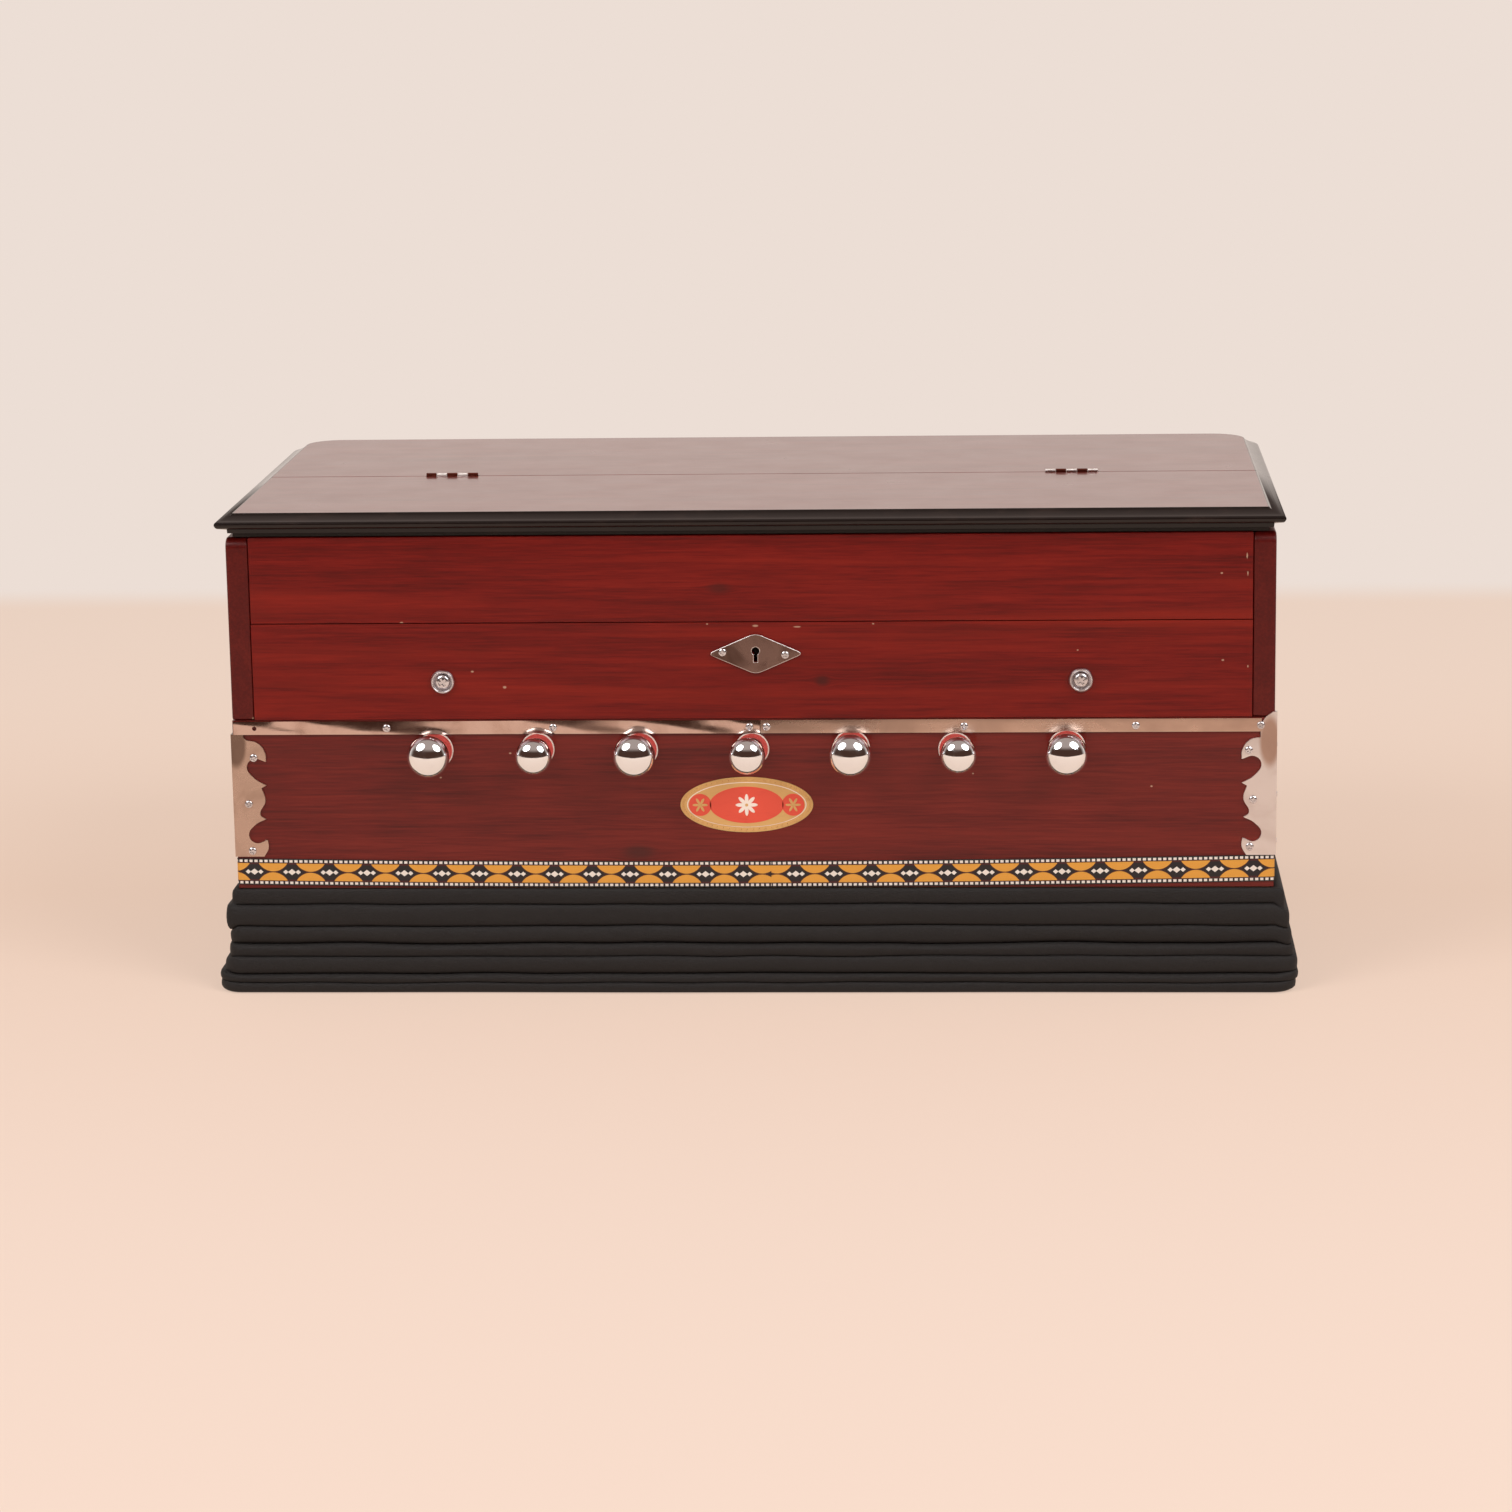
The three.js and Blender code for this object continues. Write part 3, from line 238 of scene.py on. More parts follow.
class Graph:
    """The node tree of one material or of the room."""

    def __init__(self, owner: Union[bpy.types.Material, bpy.types.World]) -> None:
        """Empties the tree of a material or a world."""
        owner.use_nodes = True
        self.owner = owner
        self.tree = owner.node_tree
        self.tree.nodes.clear()
        self._place: Optional[Wire] = None

    @classmethod
    def of(cls, name: str) -> "Graph":
        """Starts a new material."""
        return cls(bpy.data.materials.new(name))

    def node(
        self, kind: str, settings: Optional[dict] = None, values: Optional[dict] = None
    ) -> bpy.types.Node:
        """Adds a node: its settings first, then its sockets.

        Args:
            kind: the node's type.
            settings: the node's own settings, by name.
            values: what each socket gets, a number, a colour or a wire, by name or place.

        Returns:
            The node.
        """
        made = self.tree.nodes.new(kind)
        for name, setting in (settings or {}).items():
            if name == "stops":
                self._set_stops(made.color_ramp, setting)
            else:
                setattr(made, name, setting)
        for name, value in (values or {}).items():
            if isinstance(value, Wire):
                self.tree.links.new(value.socket, made.inputs[name])
            else:
                made.inputs[name].default_value = value
        return made

    @staticmethod
    def _set_stops(ramp: bpy.types.ColorRamp, stops: Sequence[tuple[float, Colour]]) -> None:
        """Gives a ramp its stops.

        Args:
            ramp: the ramp, with its two first stops.
            stops: each stop's place and colour.
        """
        while len(ramp.elements) < len(stops):
            ramp.elements.new(1.0)
        for element, (place, colour) in zip(ramp.elements, stops):
            element.position = place
            element.color = colour

    def math(self, operation: str, *values: Value) -> Wire:
        """Adds a Math node on up to three values."""
        made = self.node("ShaderNodeMath", {"operation": operation}, dict(enumerate(values)))
        return Wire(self, made.outputs[0])

    def vector_math(self, operation: str, *values: object) -> Wire:
        """Adds a Vector Math node, and gives its vector."""
        made = self.node("ShaderNodeVectorMath", {"operation": operation}, dict(enumerate(values)))
        return Wire(self, made.outputs["Vector"])

    def length(self, vector: Wire) -> Wire:
        """Gives a vector's length."""
        made = self.node("ShaderNodeVectorMath", {"operation": "LENGTH"}, {0: vector})
        return Wire(self, made.outputs["Value"])

    def place(self) -> Wire:
        """Gives the point of the surface, in the row frame.

        Returns:
            The point, which one node gives to the whole material.
        """
        if self._place is None:
            self._place = Wire(self, self.node("ShaderNodeTexCoord").outputs["Object"])
        return self._place

    def uv(self) -> Wire:
        """Gives the piece's own UV map."""
        return Wire(self, self.node("ShaderNodeTexCoord").outputs["UV"])

    def parts(self, vector: Wire) -> tuple[Wire, Wire, Wire]:
        """Splits a vector in its three numbers."""
        made = self.node("ShaderNodeSeparateXYZ", values={0: vector})
        return Wire(self, made.outputs[0]), Wire(self, made.outputs[1]), Wire(self, made.outputs[2])

    def stretched(self, scale: Sequence[float], start: Sequence[float] = (0, 0, 0)) -> Wire:
        """Gives the surface's point, moved and stretched on each axis.

        Args:
            scale: how fine the pattern gets on each axis, per metre.
            start: the point that becomes the pattern's middle.

        Returns:
            The stretched point.
        """
        point = self.place()
        if any(start):
            point = self.vector_math("SUBTRACT", point, tuple(start))
        return self.vector_math("MULTIPLY", point, tuple(scale))

    def cloud(
        self, vector: Wire, scale: float = 1.0, detail: float = 3.0, rough: float = 0.55,
        bend: float = 0.0
    ) -> Wire:
        """Adds smooth noise, from 0 to 1.

        Args:
            vector: the point to read it at.
            scale: its fineness.
            detail: how many finer layers it has.
            rough: the strength of the finer layers.
            bend: how far the noise bends itself.

        Returns:
            The noise.
        """
        made = self.node(
            "ShaderNodeTexNoise",
            {"noise_dimensions": "3D"},
            {
                "Vector": vector, "Scale": scale, "Detail": detail, "Roughness": rough,
                "Distortion": bend
            },
        )
        return Wire(self, made.outputs["Fac"])

    def haze(
        self, scale: Sequence[float], detail: float = 3.0, rough: float = 0.55, bend: float = 0.0
    ) -> Wire:
        """Adds smooth noise over the surface, its fineness given for each axis."""
        return self.cloud(self.stretched(scale), 1.0, detail, rough, bend)

    def cells(self, vector: Wire, scale: float) -> Wire:
        """Gives the distance to the nearest of many scattered points."""
        made = self.node("ShaderNodeTexVoronoi", None, {"Vector": vector, "Scale": scale})
        return Wire(self, made.outputs["Distance"])

    def mix(self, share: Value, first: Union[Wire, Colour], second: Union[Wire, Colour]) -> Wire:
        """Mixes two colours.

        Args:
            share: how much of the second shows.
            first: the colour at nothing.
            second: the colour at one.

        Returns:
            The mixed colour.
        """
        made = self.node("ShaderNodeMix", {"data_type": "RGBA"}, {0: share, 6: first, 7: second})
        return Wire(self, made.outputs[2])

    def ramp(self, value: Wire, stops: Sequence[tuple[float, Colour]]) -> Wire:
        """Reads a colour off a ramp."""
        made = self.node("ShaderNodeValToRGB", {"stops": stops}, {"Fac": value})
        return Wire(self, made.outputs["Color"])

    def upward(self) -> Wire:
        """Gives how far the surface faces up, from -1 to 1."""
        return self.parts(Wire(self, self.node("ShaderNodeNewGeometry").outputs["Normal"]))[2]

    def bump(self, height: Wire, depth: float, strength: float = 1.0) -> Wire:
        """Turns a height into a bumped normal.

        Args:
            height: the height, from 0 to 1.
            depth: how deep one is, in metres.
            strength: the bump's share.

        Returns:
            The normal.
        """
        values = {"Height": height, "Distance": depth, "Strength": strength}
        made = self.node("ShaderNodeBump", None, values)
        return Wire(self, made.outputs["Normal"])

    def finish(self, values: dict) -> bpy.types.Material:
        """Adds the surface shader and its output.

        Args:
            values: what each of the shader's sockets gets, by name.

        Returns:
            The material.
        """
        shader = self.node("ShaderNodeBsdfPrincipled", None, values)
        out = self.node("ShaderNodeOutputMaterial")
        self.tree.links.new(shader.outputs["BSDF"], out.inputs["Surface"])
        return self.owner


@dataclass(frozen=True)
class Mark:
    """A knot, chip or scratch, or a patch of painted shade, at a place on the front, as an oval of
    another colour.
    """

    across: float
    height: float
    wide: float
    tall: float
    colour: Colour
    soft: float = 0.35
    share: float = 0.7
    ragged: float = 0.5
    swirl: float = 0.0
    bend_reach: tuple[float, float] = (3.0, 2.6)
    """How far out the grain bends, in widths and in heights of the mark."""
    fineness: float = 900.0
    """How fine its ragged rim is, per metre."""

    def centre(self) -> tuple[float, float, float]:
        """Gives its middle on the front."""
        return (self.across, FRONT, self.height)

    def bend(self, graph: Graph, point: Wire) -> Wire:
        """Leads the grain round the mark.

        Args:
            graph: the material's graph.
            point: the point that the grain is read at.

        Returns:
            The point, pushed up or down beside the mark.
        """
        wide, tall = self.bend_reach[0] * self.wide, self.bend_reach[1] * self.tall
        _, _, above = graph.parts(graph.stretched((1, 1, 1), self.centre()))
        reach = graph.length(graph.stretched((1 / wide, 1 / wide, 1 / tall), self.centre()))
        near = 1 - reach.rise(0.0, 1.0)
        made = graph.node("ShaderNodeCombineXYZ", None, {"Z": above * near * (-self.swirl)})
        return graph.vector_math("ADD", point, Wire(graph, made.outputs[0]))

    def draw(self, graph: Graph, base: Wire) -> Wire:
        """Lays the mark over a colour.

        Args:
            graph: the material's graph.
            base: the colour under the mark.

        Returns:
            The colour with the mark on it.
        """
        scale = (1 / self.wide, 1 / self.wide, 1 / self.tall)
        reach = graph.length(graph.stretched(scale, self.centre()))
        if self.ragged:
            reach = reach + graph.haze((self.fineness,) * 3, 2.0) * self.ragged - self.ragged / 2
        cover = (1 - reach.rise(1 - self.soft, 1 + self.soft)) * self.share
        return graph.mix(cover, base, self.colour)


@dataclass(frozen=True)
class Wood:
    """Stained wood with its figure, streaks, pores and polish."""

    name: str
    dark: Colour
    middle: Colour
    light: Colour
    grain: Grain = Grain.ALONG_X
    fineness: float = 340.0
    roughness: float = 0.38
    shine: float = 0.2
    polish: float = 0.5
    polish_roughness: float = 0.12
    pore_share: float = 0.3
    pore_squeeze: float = 0.12
    """How much shorter than the streaks the pores are along the grain."""
    glow: Colour = (0.3, 0.03, 0.01, 1.0)
    glow_share: float = 0.0
    marks: tuple[Mark, ...] = ()

    def make(self) -> bpy.types.Material:
        """Makes the material.

        Returns:
            The material.
        """
        graph = Graph.of(self.name)
        swirl = graph.place()
        for knot in self.marks:
            if knot.swirl:
                swirl = knot.bend(graph, swirl)
        along = tuple(share * self.fineness for share in self.grain.value)
        short = tuple(share ** -self.pore_squeeze for share in self.grain.value)
        point = graph.vector_math("MULTIPLY", swirl, along)
        figure = graph.cloud(point, 0.30, 5.0, 0.60, 0.5)
        line = graph.cloud(point, 1.9, 3.0, 0.6, 0.2)
        fine = graph.cloud(graph.vector_math("MULTIPLY", point, short), 3.6, 3.0, 0.65)
        aside = graph.vector_math("ADD", point, (3.7, 9.1, 5.3))
        glow = graph.cloud(aside, 0.16, 4.0, 0.6, 0.8).rise(0.46, 0.68)
        blotch = graph.haze((9.0, 13.0, 17.0), 3.0, 0.6, 0.4)
        pore = fine.rise(0.60, 0.72)
        level = figure * 0.28 + line * 0.36 + fine * 0.24 + blotch * 0.12
        colour = graph.ramp(level, [(0.35, self.dark), (0.50, self.middle), (0.61, self.light)])
        colour = graph.mix(glow * self.glow_share, colour, self.glow)
        colour = graph.mix(pore * self.pore_share, colour, self.dark)
        for mark in self.marks:
            colour = mark.draw(graph, colour)
        height = line * 0.6 + fine * 0.4 - pore * 0.3
        rough = graph.haze((30, 30, 60)) * 0.12 + (self.roughness - 0.06)
        return graph.finish(
            {
                "Base Color": colour,
                "Roughness": rough,
                "Specular IOR Level": self.shine,
                "Normal": graph.bump(height, 0.00008, 0.5),
                "Coat Weight": self.polish,
                "Coat Roughness": self.polish_roughness,
            }
        )


@dataclass(frozen=True)
class Metal:
    """Bare or plated metal with smudges, fine scratches and stains, and marks laid over it, which
    on the brackets are painted shade.
    """

    name: str
    colour: Colour
    tarnish: Colour
    roughness: float = 0.2
    smudge: float = 0.3
    smudge_scale: float = 60.0
    brushed: float = 0.0
    marks: tuple[Mark, ...] = ()

    def make(self) -> bpy.types.Material:
        """Makes the material.

        Returns:
            The material.
        """
        graph = Graph.of(self.name)
        smear = graph.haze((self.smudge_scale,) * 3, 4.0, 0.6, 0.5).rise(0.42, 0.72)
        line = graph.haze((90, 2600, 2600), 2.0, 0.6)
        colour = graph.mix(smear * self.smudge, self.colour, self.tarnish)
        # On the brackets these marks are painted shade where an upright runs under the strip.
        for mark in self.marks:
            colour = mark.draw(graph, colour)
        rough = smear * 0.12 + line * self.brushed + (self.roughness - self.brushed / 2)
        normal = graph.bump(line * (self.brushed * 0.05), 0.00004)
        return graph.finish(
            {"Base Color": colour, "Metallic": 1.0, "Roughness": rough, "Normal": normal}
        )


@dataclass(frozen=True)
class Cloth:
    """Coated cloth, leather or felt: one colour with a grain of little cells."""

    name: str
    colour: Colour
    hollow: Colour
    dust: Colour
    grain: float = 1500.0
    depth: float = 0.0002
    roughness: float = 0.6
    sheen: float = 0.2
    dust_share: float = 0.3

    def make(self) -> bpy.types.Material:
        """Makes the material.

        Returns:
            The material.
        """
        graph = Graph.of(self.name)
        cell = graph.cells(graph.place(), self.grain)
        wear = graph.haze((22, 22, 60), 5.0, 0.65, 0.4)
        top = graph.upward().rise(-0.2, 0.9)
        colour = graph.mix(cell.rise(0.1, 0.6), self.hollow, self.colour)
        colour = graph.mix(
            wear.rise(0.45, 0.8) * self.dust_share * (top * 0.7 + 0.3), colour, self.dust
        )
        height = cell + graph.haze((260, 260, 260)) * 0.8
        return graph.finish(
            {
                "Base Color": colour,
                "Roughness": wear * 0.16 + (self.roughness - 0.08),
                "Normal": graph.bump(height, self.depth, 0.7),
                "Sheen Weight": self.sheen,
                "Sheen Roughness": 0.4,
            }
        )


@dataclass(frozen=True)
class Lacquer:
    """Smooth lacquer, celluloid or enamel over a hidden ground."""

    name: str
    colour: Colour
    worn: Colour
    roughness: float = 0.25
    wear: float = 0.2
    polish: float = 0.3
    shine: float = 0.5

    def make(self) -> bpy.types.Material:
        """Makes the material.

        Returns:
            The material.
        """
        graph = Graph.of(self.name)
        rub = graph.haze((45, 45, 140), 5.0, 0.65, 0.3)
        fine = graph.haze((700, 700, 1400), 2.0)
        colour = graph.mix(rub.rise(0.5, 0.75) * self.wear, self.colour, self.worn)
        return graph.finish(
            {
                "Base Color": colour,
                "Roughness": rub * 0.14 + (self.roughness - 0.07),
                "Specular IOR Level": self.shine,
                "Normal": graph.bump(fine, 0.00003, 0.6),
                "Coat Weight": self.polish,
                "Coat Roughness": 0.07,
            }
        )


@dataclass(frozen=True)
class KeyTimber:
    """A key's pale lever with a laid-on head: ivory-coloured at the player's end, wood behind."""

    name: str
    timber: Colour
    vein: Colour
    head: Colour
    head_line: Colour
    lever_top: float = 0.2203
    head_end: float = -0.0105

    def make(self) -> bpy.types.Material:
        """Makes the material.

        Returns:
            The material.
        """
        graph = Graph.of(self.name)
        _, depth, height = graph.parts(graph.place())
        streak = graph.haze((700, 22, 700), 4.0, 0.6)
        wood = graph.mix(streak.rise(0.35, 0.7), self.timber, self.vein)
        veil = graph.haze((260, 30, 260), 4.0, 0.6)
        ivory = graph.mix(veil.rise(0.4, 0.7) * 0.35, self.head, self.head_line)
        on_head = (height > self.lever_top) * (depth < self.head_end)
        return graph.finish(
            {
                "Base Color": graph.mix(on_head, wood, ivory),
                "Roughness": 0.62 - on_head * 0.36,
                "Normal": graph.bump(streak * (1 - on_head), 0.00006, 0.6),
            }
        )


@dataclass(frozen=True)
class PrintedTape:
    """Woven border tape: dashes on both edges, facing half lenses and small white lozenges."""

    name: str
    ground: Colour
    band: Colour
    lens: Colour
    dash: Colour
    repeat: float = 0.0223
    tall: float = 0.0158
    dash_repeat: float = 0.00297
    dash_share: float = 0.62
    dash_low: float = 0.0006
    dash_high: float = 0.0021
    lens_edge: float = 0.0027
    lens_depth: float = 0.0049
    lens_half: float = 0.0084
    lens_bow: float = 0.8
    """How full the half lenses are: less is fuller."""
    band_rims: tuple[float, float] = (0.0005, 0.0007)
    """How far the band round a lens reaches past its flat and its round side."""
    lozenge: tuple[float, float] = (0.0024, 0.0019)
    """Half the width and half the height of the middle lozenge."""
    side_lozenge: tuple[float, float] = (0.0016, 0.0014)
    side_step: float = 0.0037

    def make(self) -> bpy.types.Material:
        """Makes the material.

        Returns:
            The material.
        """
        graph = Graph.of(self.name)
        run, rise, _ = graph.parts(graph.uv())
        thread = graph.haze((2600, 2600, 2600), 1.0)
        edge = (rise * self.tall).least(self.tall - rise * self.tall)
        step = ((run / self.dash_repeat).fraction() - 0.5) * 2
        dashes = (abs(step) < self.dash_share) * (edge > self.dash_low) * (edge < self.dash_high)
        side = ((run / self.repeat).fraction() - 0.5) * self.repeat
        bulge = (1 - (side / self.lens_half) * (side / self.lens_half)).most(0.0)
        bow = bulge ** self.lens_bow * self.lens_depth
        inner = edge - self.lens_edge
        lenses = (inner > 0.0) * (inner < bow) * (abs(side) < self.lens_half)
        bands = (edge > self.lens_edge - self.band_rims[0]) * (inner < bow + self.band_rims[1])
        middle = abs(rise - 0.5) * self.tall
        gap = abs(abs(side) - self.repeat / 2)
        lozenge = (middle / self.lozenge[1] + gap / self.lozenge[0] < 1.0).most(
            middle / self.side_lozenge[1] + abs(gap - self.side_step) / self.side_lozenge[0] < 1.0
        )
        colour = graph.mix(bands, self.ground, self.band)
        colour = graph.mix(lenses, colour, self.lens)
        colour = graph.mix(dashes.most(lozenge), colour, self.dash)
        colour = graph.mix(thread * 0.25, colour, self.ground)
        height = dashes + lenses * 0.6 + thread * 0.4
        return graph.finish(
            {"Base Color": colour, "Roughness": 0.55, "Normal": graph.bump(height, 0.00012, 0.6)}
        )


@dataclass(frozen=True)
class Plain:
    """The stage's even colour, changing from the floor's to the wall's with the distance."""

    name: str
    near: Colour
    middle: Colour
    far: Colour
    wall: Colour
    floor_start: float = -0.8
    floor_reach: float = 1.9
    wall_start: float = 1.10
    wall_full: float = 1.22
    lit_share: float = 0.38
    glow_share: float = 0.62

    def make(self) -> bpy.types.Material:
        """Makes the material.

        Returns:
            The material.
        """
        graph = Graph.of(self.name)
        _, depth, _ = graph.parts(graph.place())
        stops = [(0.0, self.near), (0.45, self.middle), (1.0, self.far)]
        floor = graph.ramp((depth - self.floor_start).rise(0.0, self.floor_reach), stops)
        on_wall = depth.rise(self.wall_start, self.wall_full)
        black = paint(0, 0, 0)
        colour = graph.mix(on_wall, graph.mix(self.lit_share, black, floor), black)
        glow = graph.mix(self.glow_share, black, floor)
        return graph.finish(
            {
                "Base Color": colour,
                "Roughness": 0.9,
                "Specular IOR Level": 0.0,
                "Emission Color": graph.mix(on_wall, glow, self.wall),
                "Emission Strength": 1.0,
            }
        )


class Palette:
    """Every finish of the object, made once."""

    panel_chips = (
        (0.2881, 0.2579, 0.0004, 0.0016), (0.2886, 0.2475, 0.0003, 0.0012),
        (0.2890, 0.1930, 0.0004, 0.0007), (0.2736, 0.2478, 0.0007, 0.0005),
        (0.2746, 0.1967, 0.0007, 0.0005), (0.1908, 0.2030, 0.0005, 0.0004),
        (-0.2029, 0.2210, 0.0009, 0.0006), (-0.1434, 0.1824, 0.0010, 0.0007),
        (-0.1622, 0.1918, 0.0008, 0.0005), (0.0040, 0.2182, 0.0016, 0.0006),
        (0.0283, 0.2175, 0.0020, 0.0004), (-0.0241, 0.2194, 0.0006, 0.0004),
        (0.0725, 0.2191, 0.0007, 0.0004),
    )
    board_chips = (
        (0.2337, 0.1220, 0.0006, 0.0005), (0.1299, 0.1299, 0.0005, 0.0004),
        (-0.1827, 0.1284, 0.0006, 0.0004), (-0.1412, 0.1429, 0.0007, 0.0005),
    )
    """Where the chips of the panels and of the front board are, how wide and how tall."""

    def __init__(self) -> None:
        """Makes the finishes."""
        self._woods()
        self._soft()
        self._metals()
        self._lacquers()

    def _woods(self) -> None:
        """Makes the woods and the keys' finish."""
        chip, knot = paint(190, 158, 132), paint(52, 22, 18)
        self.panel = Wood(
            "panel wood", paint(74, 6, 3), paint(105, 13, 7), paint(124, 22, 12),
            glow=paint(140, 32, 16), glow_share=0.5, polish=0.15,
            marks=(
                *(Mark(*spot, chip) for spot in self.panel_chips),
                Mark(-0.0171, 0.2405, 0.0060, 0.0028, knot, 0.7, 0.5, 0.3, 0.75),
                Mark(0.0425, 0.1854, 0.0036, 0.0028, knot, 0.7, 0.6, 0.3, 0.75),
            ),
        ).make()
        self.board = Wood(
            "front board wood", paint(70, 11, 8), paint(100, 20, 14), paint(116, 30, 21),
            glow=paint(124, 34, 22), glow_share=0.35, polish=0.38, fineness=300.0, roughness=0.42,
            marks=(
                *(Mark(*spot, chip) for spot in self.board_chips),
                Mark(-0.0667, 0.0830, 0.0080, 0.0036, knot, 0.7, 0.6, 0.3, 0.75),
            ),
        ).make()
        self.cheek = Wood(
            "cheek wood", paint(66, 7, 5), paint(84, 12, 8), paint(96, 20, 13),
            grain=Grain.ALONG_Y, fineness=300.0, polish=0.2,
            marks=(Mark(-0.2918, 0.1644, 0.0012, 0.0008, chip),),
        ).make()
        self.back = Wood(
            "back wood", paint(66, 18, 13), paint(92, 28, 20), paint(110, 40, 28)
        ).make()
        self.lid = Wood(
            "lid wood", paint(96, 30, 24), paint(112, 40, 32), paint(124, 50, 40),
            fineness=260.0, roughness=0.3, shine=0.5, polish=0.62, polish_roughness=0.08,
            pore_share=0.15,
        ).make()
        tones = paint(168, 128, 84), paint(198, 160, 112), paint(214, 182, 136)
        self.pale = Wood("pale wood", *tones, roughness=0.6, polish=0.0, pore_share=0.25).make()
        self.pale_deep = Wood(
            "pale wood along the depth", *tones, grain=Grain.ALONG_Y, roughness=0.6, polish=0.0
        ).make()
        self.key = KeyTimber(
            "key timber",
            paint(206, 168, 118), paint(184, 142, 94), paint(240, 230, 208), paint(224, 206, 172),
        ).make()

    def _soft(self) -> None:
        """Makes the finishes of cloth, leather, felt and tape."""
        self.leathercloth = Cloth(
            "leathercloth", paint(21, 17, 16), paint(13, 10, 10), paint(37, 31, 29),
            roughness=0.75, sheen=0.0, dust_share=0.2,
        ).make()
        self.leather = Cloth(
            "leather", paint(150, 108, 72), paint(112, 76, 48), paint(176, 138, 100), 900.0, 0.0003
        ).make()
        self.felt = Cloth(
            "felt", paint(204, 74, 66), paint(150, 40, 36), paint(226, 128, 112),
            2400.0, 0.0004, 0.9, 0.7,
        ).make()
        self.felt_edge = Cloth(
            "felt edge", paint(236, 214, 204), paint(200, 160, 150), paint(240, 226, 218),
            2400.0, 0.0004, 0.9, 0.5,
        ).make()
        self.tape = PrintedTape(
            "border tape", paint(30, 26, 28), paint(70, 22, 22), paint(232, 164, 62),
            paint(244, 236, 226)
        ).make()

    def _metals(self) -> None:
        """Makes the metals."""
        self.chrome = Metal(
            "chrome", paint(248, 252, 255), paint(232, 230, 232), 0.05, 0.10, 120.0
        ).make()
        self.sheet = Metal(
            "bright sheet", paint(212, 186, 174), paint(178, 140, 122), 0.10, 0.45, 34.0,
            brushed=0.04
        ).make()
        self.tan_sheet = Metal(
            "tan sheet", paint(212, 182, 164), paint(186, 152, 134), 0.26, 0.4, 24.0, brushed=0.04
        ).make()
        self.bracket = Metal(
            "satin nickel", paint(240, 234, 232), paint(224, 208, 200), 0.30, 0.4, 40.0,
            brushed=0.03,
            # The darker oval paints shade and a dark reflection on the upright under the strip.
            marks=(Mark(0.3020, 0.1490, 0.0058, 0.0150, paint(186, 150, 130), 0.25, 0.85, 0.0),),
        ).make()
        self.tan_bracket = Metal(
            "tarnished nickel", paint(204, 178, 162), paint(180, 152, 134), 0.26, 0.5, 40.0,
            brushed=0.03,
            # The dark oval paints shade and a dark reflection on the upright under the strip.
            marks=(Mark(-0.3035, 0.1490, 0.0062, 0.0140, paint(122, 100, 88), 0.2, 0.85, 0.0),),
        ).make()
        self.nickel = Metal("nickel", paint(224, 222, 226), paint(176, 162, 152), 0.22, 0.35).make()
        self.dull_nickel = Metal(
            "lacquered nickel", paint(112, 54, 42), paint(74, 34, 28), 0.35, 0.5
        ).make()
        self.bronze = Metal(
            "bronze plate", paint(134, 110, 102), paint(84, 60, 50), 0.24, 0.75, 38.0, brushed=0.04
        ).make()
        self.bright = Metal(
            "bright nickel", paint(255, 250, 246), paint(236, 224, 216), 0.5, 0.2
        ).make()
        self.iron = Metal("dark iron", paint(52, 46, 44), paint(34, 28, 26), 0.55, 0.4).make()
        self.steel = Metal("steel", paint(176, 172, 168), paint(120, 108, 100), 0.32, 0.4).make()
        self.brass = Metal("brass", paint(222, 184, 112), paint(156, 114, 58), 0.28, 0.45).make()

    def _lacquers(self) -> None:
        """Makes the lacquers and enamels."""
        self.lid_edge = Lacquer(
            "black lid edge", paint(22, 14, 12), paint(58, 42, 36), 0.15, 0.3, 0.36, 0.22
        ).make()
        self.gilt = Lacquer("gilt", paint(216, 170, 104), paint(176, 128, 70), 0.4, 0.3, 0.2).make()
        self.enamel = Lacquer(
            "red enamel", paint(226, 78, 56), paint(190, 50, 38), 0.35, 0.3, 0.3
        ).make()
        self.cream = Lacquer(
            "cream enamel", paint(244, 232, 220), paint(226, 200, 180), 0.4, 0.3, 0.2
        ).make()
        self.ebony = Lacquer("ebony", paint(28, 24, 24), paint(60, 50, 46), 0.3, 0.3, 0.3).make()


